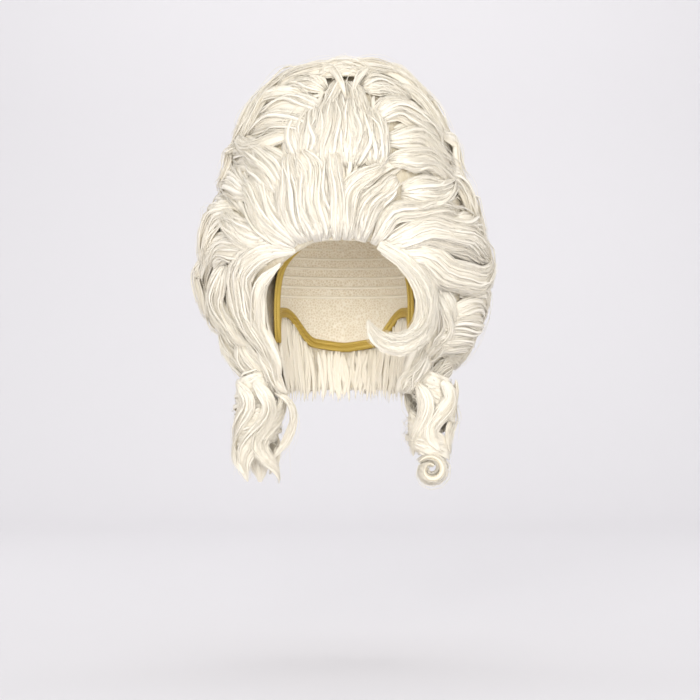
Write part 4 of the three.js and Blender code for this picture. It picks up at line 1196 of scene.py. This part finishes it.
# %% [markdown]
# ## The backcombed pile
# Between the locks the eye sees the pile: dull, fuzzy and a shade deeper, because backcombed fibres
# lie every way and shade each other. Copies of the model's four pads are joined, remeshed into one
# skin and smoothed, so the pile is exactly where the model has it.

# %% Backcombed hair
FUZZ_ACROSS, FUZZ_DOWN = 260, 55  # a metre: tufts 4 mm across and 18 mm long
backcombed_hair, surface = new_material("backcombed_hair")
place = add_node(backcombed_hair, "ShaderNodeTexCoord")
squeeze = add_node(
    backcombed_hair, "ShaderNodeMapping", {
        "Vector": place.outputs["Object"], "Scale": (FUZZ_ACROSS, FUZZ_ACROSS, FUZZ_DOWN)
    }
)
fuzz = add_node(
    backcombed_hair,
    "ShaderNodeTexNoise",
    {
        "Vector": squeeze.outputs["Vector"],
        "Scale": 2.0,
        "Detail": 6.0,
        "Roughness": 0.65,
        "Distortion": 0.6,
    },
)
# The same noise gives the bump and the colour, so the fuzz is darker where its bump dips: painted shade
# between the tufts.
tone = add_node(backcombed_hair, "ShaderNodeValToRGB", {"Fac": fuzz.outputs["Fac"]})
set_stops(tone, [(0.3, linear("#d3c3a4")), (0.5, linear("#e3d8bf")), (0.7, linear("#efe7d5"))])
connect(backcombed_hair, tone.outputs["Color"], surface.inputs["Base Color"])
fluff = add_node(
    backcombed_hair, "ShaderNodeBump", {
        "Height": fuzz.outputs["Fac"], "Strength": 0.6, "Distance": 0.002
    }
)
connect(backcombed_hair, fluff.outputs["Normal"], surface.inputs["Normal"])
surface.inputs["Roughness"].default_value = 0.8
surface.inputs["Sheen Weight"].default_value = 0.3

# %% The pile
PADS = ["hair_core_top", "hair_core_back", "hair_core_left", "hair_core_right"]


def copy_of_node(name):
    """A copy of a CAD node with its own mesh, whose loose triangles are merged."""
    source = bpy.data.objects[name]
    copy = source.copy()
    copy.data = source.data.copy()
    bpy.context.collection.objects.link(copy)
    bpy.ops.object.select_all(action="DESELECT")
    copy.select_set(True)
    bpy.context.view_layer.objects.active = copy
    bpy.ops.object.mode_set(mode="EDIT")
    bpy.ops.mesh.select_all(action="SELECT")
    bpy.ops.mesh.remove_doubles(threshold=1e-6)
    bpy.ops.object.mode_set(mode="OBJECT")
    return copy


pads = [copy_of_node(name) for name in PADS]
for pad in pads:
    pad.select_set(True)
bpy.ops.object.join()
pile_piece = bpy.context.object
pile_piece.name = "backcombed_pile"
bpy.ops.object.modifier_add(type="REMESH")
pile_piece.modifiers[-1].mode = "VOXEL"
pile_piece.modifiers[-1].voxel_size = 6 * MM
bpy.ops.object.modifier_add(type="SMOOTH")
pile_piece.modifiers[-1].iterations = 6
for modifier in list(pile_piece.modifiers):
    bpy.ops.object.modifier_apply(modifier=modifier.name)
pile_piece.data.materials.clear()
pile_piece.data.materials.append(backcombed_hair)
bpy.ops.object.shade_smooth()
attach(pile_piece, "root")
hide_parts(*PADS)
print("pile:", len(pile_piece.data.polygons), "faces")

# %% [markdown]
# ## The cap
# A wig is built on a cap of fine net, with the hair sewn on in rows. From the front one looks into
# it, as the cap is open below and in front. The net is a copy of the model's shell, smoothed once.
# The rows of sewn hair are thin flat cords that run round its inside, so the cap's own shape is
# needed again: ovals that widen from the crown, and an edge that dips before and behind the ears.

# %% The cap's shape
CROWN_DEPTH, NECK_HALF, NECK_BACK = 95, 64, 74  # mm
HAIRLINE_DROP, TAB_DROP, NAPE_DROP = 38, 150, 158  # mm from the crown down to the cap's edge
CAP_EDGE = [
    # azimuth, then shares of the way down from the hairline to the tab and to the nape
    (0, 0, 0),
    (27, 0, 0),
    (40, 0.07, 0),
    (54, 0.18, 0),
    (68, 0.34, 0),
    (77, 0.66, 0),
    (84, 1, 0),
    (92, 1, 0),
    (102, 0.72, 0),
    (124, 0.72, 0),
    (146, 0.2, 0.76),
    (180, 0, 1),
]


def cap_edge(azimuth):
    """How far the cap's edge lies below the crown, in mm."""
    around = np.abs((azimuth + 180) % 360 - 180)
    keys, tabs, napes = np.array(CAP_EDGE, dtype=float).T
    tab, nape = np.interp(around, keys, tabs), np.interp(around, keys, napes)
    return HAIRLINE_DROP + tab * (TAB_DROP - HAIRLINE_DROP) + nape * (NAPE_DROP - HAIRLINE_DROP)


def cap_point(azimuth, share, off):
    """Places a share of the way from the crown to the cap's edge, off mm outside the head."""
    edge = cap_edge(azimuth)
    turned = np.where(
        edge < CROWN_DEPTH, np.arccos(1 - np.minimum(edge, CROWN_DEPTH) / CROWN_DEPTH), np.pi / 2
    )
    straight = np.maximum(edge - CROWN_DEPTH, 0) / CROWN_DEPTH
    along = share * (turned + straight)
    curve = CROWN_DEPTH * (1 - np.cos(np.minimum(along, np.pi / 2)))
    z = -(curve + CROWN_DEPTH * np.maximum(along - np.pi / 2, 0))
    rise = np.clip((z + CROWN_DEPTH) / CROWN_DEPTH, 0, 1)
    dome_share = (1 - rise**2.5) ** 0.4
    taper = np.clip((-CROWN_DEPTH - z) / (HAIR_DROP - CROWN_DEPTH), 0, 1) ** 1.5
    width, length = HEAD_HALF_WIDTH, HEAD_HALF_LENGTH
    side = np.where(z > -CROWN_DEPTH, width * dome_share, width + (NECK_HALF - width) * taper)
    front = np.where(z > -CROWN_DEPTH, length * dome_share, length)
    back = np.where(z > -CROWN_DEPTH, length * dome_share, length + (NECK_BACK - length) * taper)
    a, out = np.radians(azimuth), off * np.minimum(1, np.sin(along) + 0.02)
    x = (side + out) * np.sin(a)
    y = (back - front) / 2 - ((back + front) / 2 + out) * np.cos(a)
    return np.stack([x, y, z + off * np.maximum(0, np.cos(along))], axis=-1)


print("cap's edge before the ears, mm:", cap_point(np.array(88.0), np.array(1.0), 0.0).round(1))

# %% [markdown]
# The net's holes are 3 mm across. A Voronoi pattern's cell edges make its threads, kept nearly
# regular. Where the net is open the eye meets pale hair that lies behind it in shade, so the holes
# are painted only a tone darker: painted shade.

# %% Cotton net
cotton_net, surface = new_material("cotton_net")
place = add_node(cotton_net, "ShaderNodeTexCoord")
HOLE = 0.003
cells = add_node(
    cotton_net,
    "ShaderNodeTexVoronoi",
    {"Vector": place.outputs["Object"], "Scale": 1 / HOLE, "Randomness": 0.9},
    feature="DISTANCE_TO_EDGE",
)
# The ramp gives the threads their pale cotton and the holes a darker tone, painted shade on the hair behind
# the net.
threads_and_shaded_holes = add_node(cotton_net, "ShaderNodeValToRGB", {"Fac": cells.outputs["Distance"]})
set_stops(
    threads_and_shaded_holes,
    [
        (0.0, linear("#f7f0e0")),
        (0.09, linear("#f3ead6")),
        (0.16, linear("#e6dac2")),
        (0.5, linear("#e0d3b9")),
    ],
)
connect(cotton_net, threads_and_shaded_holes.outputs["Color"], surface.inputs["Base Color"])
raised = add_node(
    cotton_net, "ShaderNodeMapRange", {"Value": cells.outputs["Distance"], 2: 0.15, 3: 1.0, 4: 0.0}
)
weave = add_node(
    cotton_net, "ShaderNodeBump", {
        "Height": raised.outputs["Result"], "Strength": 0.6, "Distance": 0.0006
    }
)
connect(cotton_net, weave.outputs["Normal"], surface.inputs["Normal"])
surface.inputs["Roughness"].default_value = 0.85
surface.inputs["Sheen Weight"].default_value = 0.15

# %% The net shell and the rows sewn to it
net = copy_of_node("wig_cap")
net.name = "net_cap"
bpy.ops.object.modifier_add(type="SUBSURF")
net.modifiers[-1].levels = net.modifiers[-1].render_levels = 1
bpy.ops.object.modifier_apply(modifier=net.modifiers[-1].name)
net.data.materials.clear()
net.data.materials.append(cotton_net)
bpy.ops.object.shade_smooth()
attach(net, "root")
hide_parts("wig_cap")

WEFT_DEPTHS = np.arange(20, 108, 11.0)  # mm below the crown
WEFT_STATIONS = 90
WEFT_INSIDE = -1.9  # mm: just inside the net
rounds = np.linspace(0, 180, 181)
firsts = [rounds[np.argmax(cap_edge(rounds) > depth + 9)] for depth in WEFT_DEPTHS]
azimuths = np.array([np.linspace(first, 360 - first, WEFT_STATIONS) for first in firsts])
down = np.arccos(1 - np.minimum(WEFT_DEPTHS, CROWN_DEPTH) / CROWN_DEPTH)
down = (down + np.maximum(WEFT_DEPTHS - CROWN_DEPTH, 0) / CROWN_DEPTH)[:, None]
edges = cap_edge(azimuths)
whole = np.where(
    edges < CROWN_DEPTH, np.arccos(1 - np.minimum(edges, CROWN_DEPTH) / CROWN_DEPTH), np.pi / 2
)
shares = down / (whole + np.maximum(edges - CROWN_DEPTH, 0) / CROWN_DEPTH)
centre = cap_point(azimuths, shares, WEFT_INSIDE)
out = unit(cap_point(azimuths, shares, 1.0) - centre)
even = np.ones(azimuths.shape)
make_piece(
    "weft_rows",
    [
        tube_arrays(
            centre, out, 1.7 * even, 0.9 * even, 6, 0.3 * even, azimuths * 1.4, 0.003 * even
        ),
    ],
    powdered_hair,
)

# %% [markdown]
# ## Hair at the nape
# Below the cap the innermost hair hangs down behind the neck, and its ends are cut by hand, so they
# don't stop in one line. Tresses and strands start under the cap's edge and end a little below the
# pile. More hair hangs along the pile's walls at both temples.

# %% Hanging hair at the nape
NAPE_TRESSES, NAPE_STRANDS = 130, 200


def hanging_arrays(rng, amount, stations, wide, high, sides, tone):
    """Hair that hangs on the inside of the pile, from the cap's edge to below the pile."""
    azimuth = rng.uniform(93, 267, amount)[:, None]
    share = np.linspace(0, 1, stations)[None, :]
    start = cap_edge(azimuth) + rng.uniform(1, 7, (amount, 1))
    depth = start + (HAIR_DROP + rng.uniform(-2, 13, (amount, 1)) - start) * share
    whole = np.pi / 2 + (cap_edge(azimuth) - CROWN_DEPTH) / CROWN_DEPTH
    azimuth = azimuth + 2 * np.sin(
        6.28 * rng.uniform(0.4, 1.1, (amount, 1)) * share + rng.uniform(0, 6, (amount, 1))
    )
    centre = cap_point(
        azimuth,
        (np.pi / 2 + (depth - CROWN_DEPTH) / CROWN_DEPTH) / whole,
        rng.uniform(-1.6, 0.4, (amount, 1)),
    )
    out = unit(centre * (1, 1, 0))
    taper = np.interp(share, [0, 0.2, 0.7, 1], [0.5, 1, 0.8, 0.1]) * rng.uniform(
        0.7, 1.3, (amount, 1)
    )
    tones = tone + rng.normal(0, 0.06, (amount, 1)) + 0 * share
    return tube_arrays(
        centre, out, wide * taper, high * taper, sides, tones, 60 * share + 0 * tones,
        depth * 0 + azimuth,
    )


def temple_arrays(rng, side, amount, stations, wide, high, sides, tone):
    """Hair that hangs along the pile's wall at one side of the opening for the face."""
    share = np.linspace(0, 1, stations)[None, :]
    level = -rng.uniform(HAIRLINE + 22, 150, (amount, 1))
    z = np.maximum(level - rng.uniform(35, 75, (amount, 1)) * share, -HAIR_DROP - 3)
    drops, halves, eases = np.array(FACE_EDGE).T
    drop = (-HAIRLINE - z) / (HAIR_DROP - HAIRLINE)
    room = TEMPLE_ROOM[0] if side < 0 else TEMPLE_ROOM[1]
    x = np.interp(drop, drops, halves) * HEAD_HALF_WIDTH + np.interp(drop, drops, eases) * room
    fall = np.interp(-z, -pile[:, 1], pile[:, 0])
    reach, front, back = (read_pile(column, fall) for column in (2, 3, 4))
    front_y = (back - front) / 2 - (back + front) / 2 * np.sqrt(1 - np.minimum(x / reach, 1) ** 2)
    deep = rng.uniform(0.06, 0.97, (amount, 1)) + 0.05 * np.sin(
        6.28 * share + rng.uniform(0, 6, (amount, 1))
    )
    y = front_y + (FACE_BACK - 1 - front_y) * np.clip(deep, 0, 1)
    centre = np.stack([side * (x - rng.uniform(-0.3, 1.0, (amount, 1))), y, z], axis=-1)
    out = np.broadcast_to((-side * 1.0, 0.0, 0.0), centre.shape)
    taper = np.interp(share, [0, 0.2, 0.7, 1], [0.3, 1, 0.8, 0.1]) * rng.uniform(
        0.7, 1.3, (amount, 1)
    )
    tones = tone + rng.normal(0, 0.06, (amount, 1)) + 0 * share
    return tube_arrays(
        centre, out, wide * taper, high * taper, sides, tones, 60 * share + 0 * tones, y
    )


rng = np.random.default_rng(1781)
# The tresses get a deeper base than the strands over them, and the hair along the temple walls the deepest:
# painted shade, with a random tone on top.
nape_parts = [
    hanging_arrays(rng, NAPE_TRESSES, 10, 2.8, 1.1, 5, 0.34),
    hanging_arrays(rng, NAPE_STRANDS, 10, 0.34, 0.34, 3, 0.4),
]
for side in (-1, 1):
    nape_parts.append(temple_arrays(rng, side, 70, 8, 3.2, 1.0, 5, 0.3))
    nape_parts.append(temple_arrays(rng, side, 80, 8, 0.3, 0.3, 3, 0.38))
make_piece("nape_hair", nape_parts, powdered_hair)

# %% [markdown]
# ## The gold tape
# A tape binds the net's edge so that it doesn't fray. The photograph shows it at the left temple as
# two gold cords side by side. Its section, a flat U with two round cords on the side of the head,
# is swept along the cap's edge. The lay of the cords is a fine slanting pattern on the UV map.

# %% Gold tape
gold_tape, surface = new_material("gold_tape")
uv = add_node(gold_tape, "ShaderNodeUVMap", uv_map="along_lock")
TWIST = 0.0016  # m from one turn of the cord to the next
slant = add_node(
    gold_tape,
    "ShaderNodeMapping",
    {
        "Vector": uv.outputs["UV"],
        "Rotation": (0, 0, math.radians(38)),
        "Scale": (1 / TWIST, 1 / TWIST, 1),
    },
)
turns = add_node(
    gold_tape, "ShaderNodeTexWave", {
        "Vector": slant.outputs["Vector"], "Scale": 0.318, "Distortion": 0.4
    }
)
# The same wave gives the bump and the colour: darker gold in the grooves between the cord's turns and
# lighter on their crests, painted shade and painted highlight on the gold's own colour.
gilt_with_groove_shade = add_node(gold_tape, "ShaderNodeValToRGB", {"Fac": turns.outputs["Fac"]})
set_stops(gilt_with_groove_shade, [(0.0, linear("#8f7020")), (0.4, linear("#c29f38")), (1.0, linear("#e8cf74"))])
connect(gold_tape, gilt_with_groove_shade.outputs["Color"], surface.inputs["Base Color"])
lay = add_node(
    gold_tape,
    "ShaderNodeBump",
    {"Height": turns.outputs["Fac"], "Strength": 0.8, "Distance": 0.0005},
)
connect(gold_tape, lay.outputs["Normal"], surface.inputs["Normal"])
surface.inputs["Roughness"].default_value = 0.38
surface.inputs["Metallic"].default_value = 0.35

# %% The tape round the cap's edge
TAPE_SECTION = [
    # off the head and down from the cap's edge, in mm: the two cords, then back over the outside
    (0.0, -8.6), (-0.9, -8.7), (-1.8, -8.0), (-2.2, -6.6), (-1.9, -5.2), (-1.1, -4.5), (-1.1, -3.8),
    (-1.9, -3.1), (-2.4, -1.7), (-2.5, 0.2), (-1.9, 1.6), (-0.6, 2.3), (0.6, 1.8), (1.2, 0.7),
    (1.8, 1.8), (3.0, 2.3), (4.3, 1.6), (4.8, 0.1), (4.3, -1.5), (3.7, -4.0), (3.6, -7.2), (3.0,
        -8.6), (1.9, -8.8),
]
TAPE_STATIONS = 220
azimuth = np.linspace(180, 540, TAPE_STATIONS + 1)


def eased(share, turned=0):
    """The cap's edge line, averaged over a few degrees, as a tape eases round corners."""
    around = azimuth[:, None] + np.linspace(-6, 6, 7)[None, :] + turned
    return cap_point(around, share, 0.0).mean(axis=1)


edge, above = eased(1.0), eased(5 / 6)
out_way = unit(np.cross(edge - above, unit(eased(1.0, 2) - eased(1.0, -2))))
down_way = unit(np.cross(unit(eased(1.0, 2) - eased(1.0, -2)), out_way))
section = np.array(TAPE_SECTION)
rings = edge[:, None] + out_way[:, None] * section[None, :, :1] + down_way[:, None] * section[None,
    :, 1:]
girth = np.cumsum(np.linalg.norm(np.diff(section, axis=0, prepend=section[:1]), axis=1))
length = np.cumsum(np.linalg.norm(np.diff(edge, axis=0, prepend=edge[:1]), axis=1))
u, v = np.broadcast_arrays(length[:, None] * MM, girth[None, :] * MM)
quads = grid_faces(np.zeros((1, 1, 1), int), TAPE_STATIONS + 1, len(section))
tape_uv = np.stack([u, v], axis=-1).reshape(-1, 2)
tape = make_piece(
    "gold_braid_tape", [
        (rings.reshape(-1, 3), quads, [], np.ones(u.size), tape_uv)
    ], gold_tape
)
bpy.ops.object.select_all(action="DESELECT")
tape.select_set(True)
bpy.context.view_layer.objects.active = tape
bpy.ops.object.mode_set(mode="EDIT")
bpy.ops.mesh.select_all(action="SELECT")
bpy.ops.mesh.remove_doubles(threshold=1e-5)
bpy.ops.mesh.normals_make_consistent(inside=False)
bpy.ops.object.mode_set(mode="OBJECT")
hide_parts("cap_tape")
print("tape round the edge, mm: %.0f" % length[-1])

# %% [markdown]
# ## Light
# The photograph's shadows are pale and soft. Two large lamps near the camera and a weak world light
# the valleys between the tresses. One lamp above gives the locks their form, two behind light the
# back and the sides, and one lights the paper behind the wig.

# %% Lamps and world
# The plain view keeps pale colours as they are, where the filmic one would grey them.
bpy.context.scene.view_settings.view_transform = "Standard"
world = bpy.data.worlds.new("studio")
bpy.context.scene.world = world
world.use_nodes = True
world.node_tree.nodes["Background"].inputs["Color"].default_value = linear("#f2f2f4")
world.node_tree.nodes["Background"].inputs["Strength"].default_value = 0.66


def soft_lamp(name, place, aim, size, power):
    """A square area lamp that faces a place."""
    bpy.ops.object.light_add(type="AREA", location=place)
    lamp = bpy.context.object
    lamp.name = name
    lamp.data.size = size
    lamp.data.energy = power
    lamp.visible_camera = False  # a lamp behind the wig lights it and isn't seen itself
    lamp.rotation_euler = (Vector(aim) - Vector(place)).to_track_quat("-Z", "Y").to_euler()


soft_lamp("key_lamp", (-0.7, -2.8, 0.7), (0, 0, -0.05), 1.3, 42)
soft_lamp("fill_lamp", (0.9, -2.7, 0.1), (0, 0, -0.1), 1.3, 31)
soft_lamp("top_lamp", (0, 0.5, 2.4), (0, 0, 0), 1.8, 8)
soft_lamp("left_back_lamp", (-1.7, 0.9, 1.0), (0, 0, -0.05), 1.0, 7)
soft_lamp("right_back_lamp", (1.7, 0.9, 1.0), (0, 0, -0.05), 1.0, 7)
soft_lamp("backdrop_lamp", (0, 1.1, 2.3), (0, 2.7, 1.2), 1.2, 18)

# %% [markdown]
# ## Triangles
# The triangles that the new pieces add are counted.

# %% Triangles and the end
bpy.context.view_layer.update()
added = [o for o in bpy.data.objects if o.type == "MESH" and o.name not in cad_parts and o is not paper]
print("triangles added:", sum(len(p.vertices) - 2 for o in added for p in o.data.polygons))
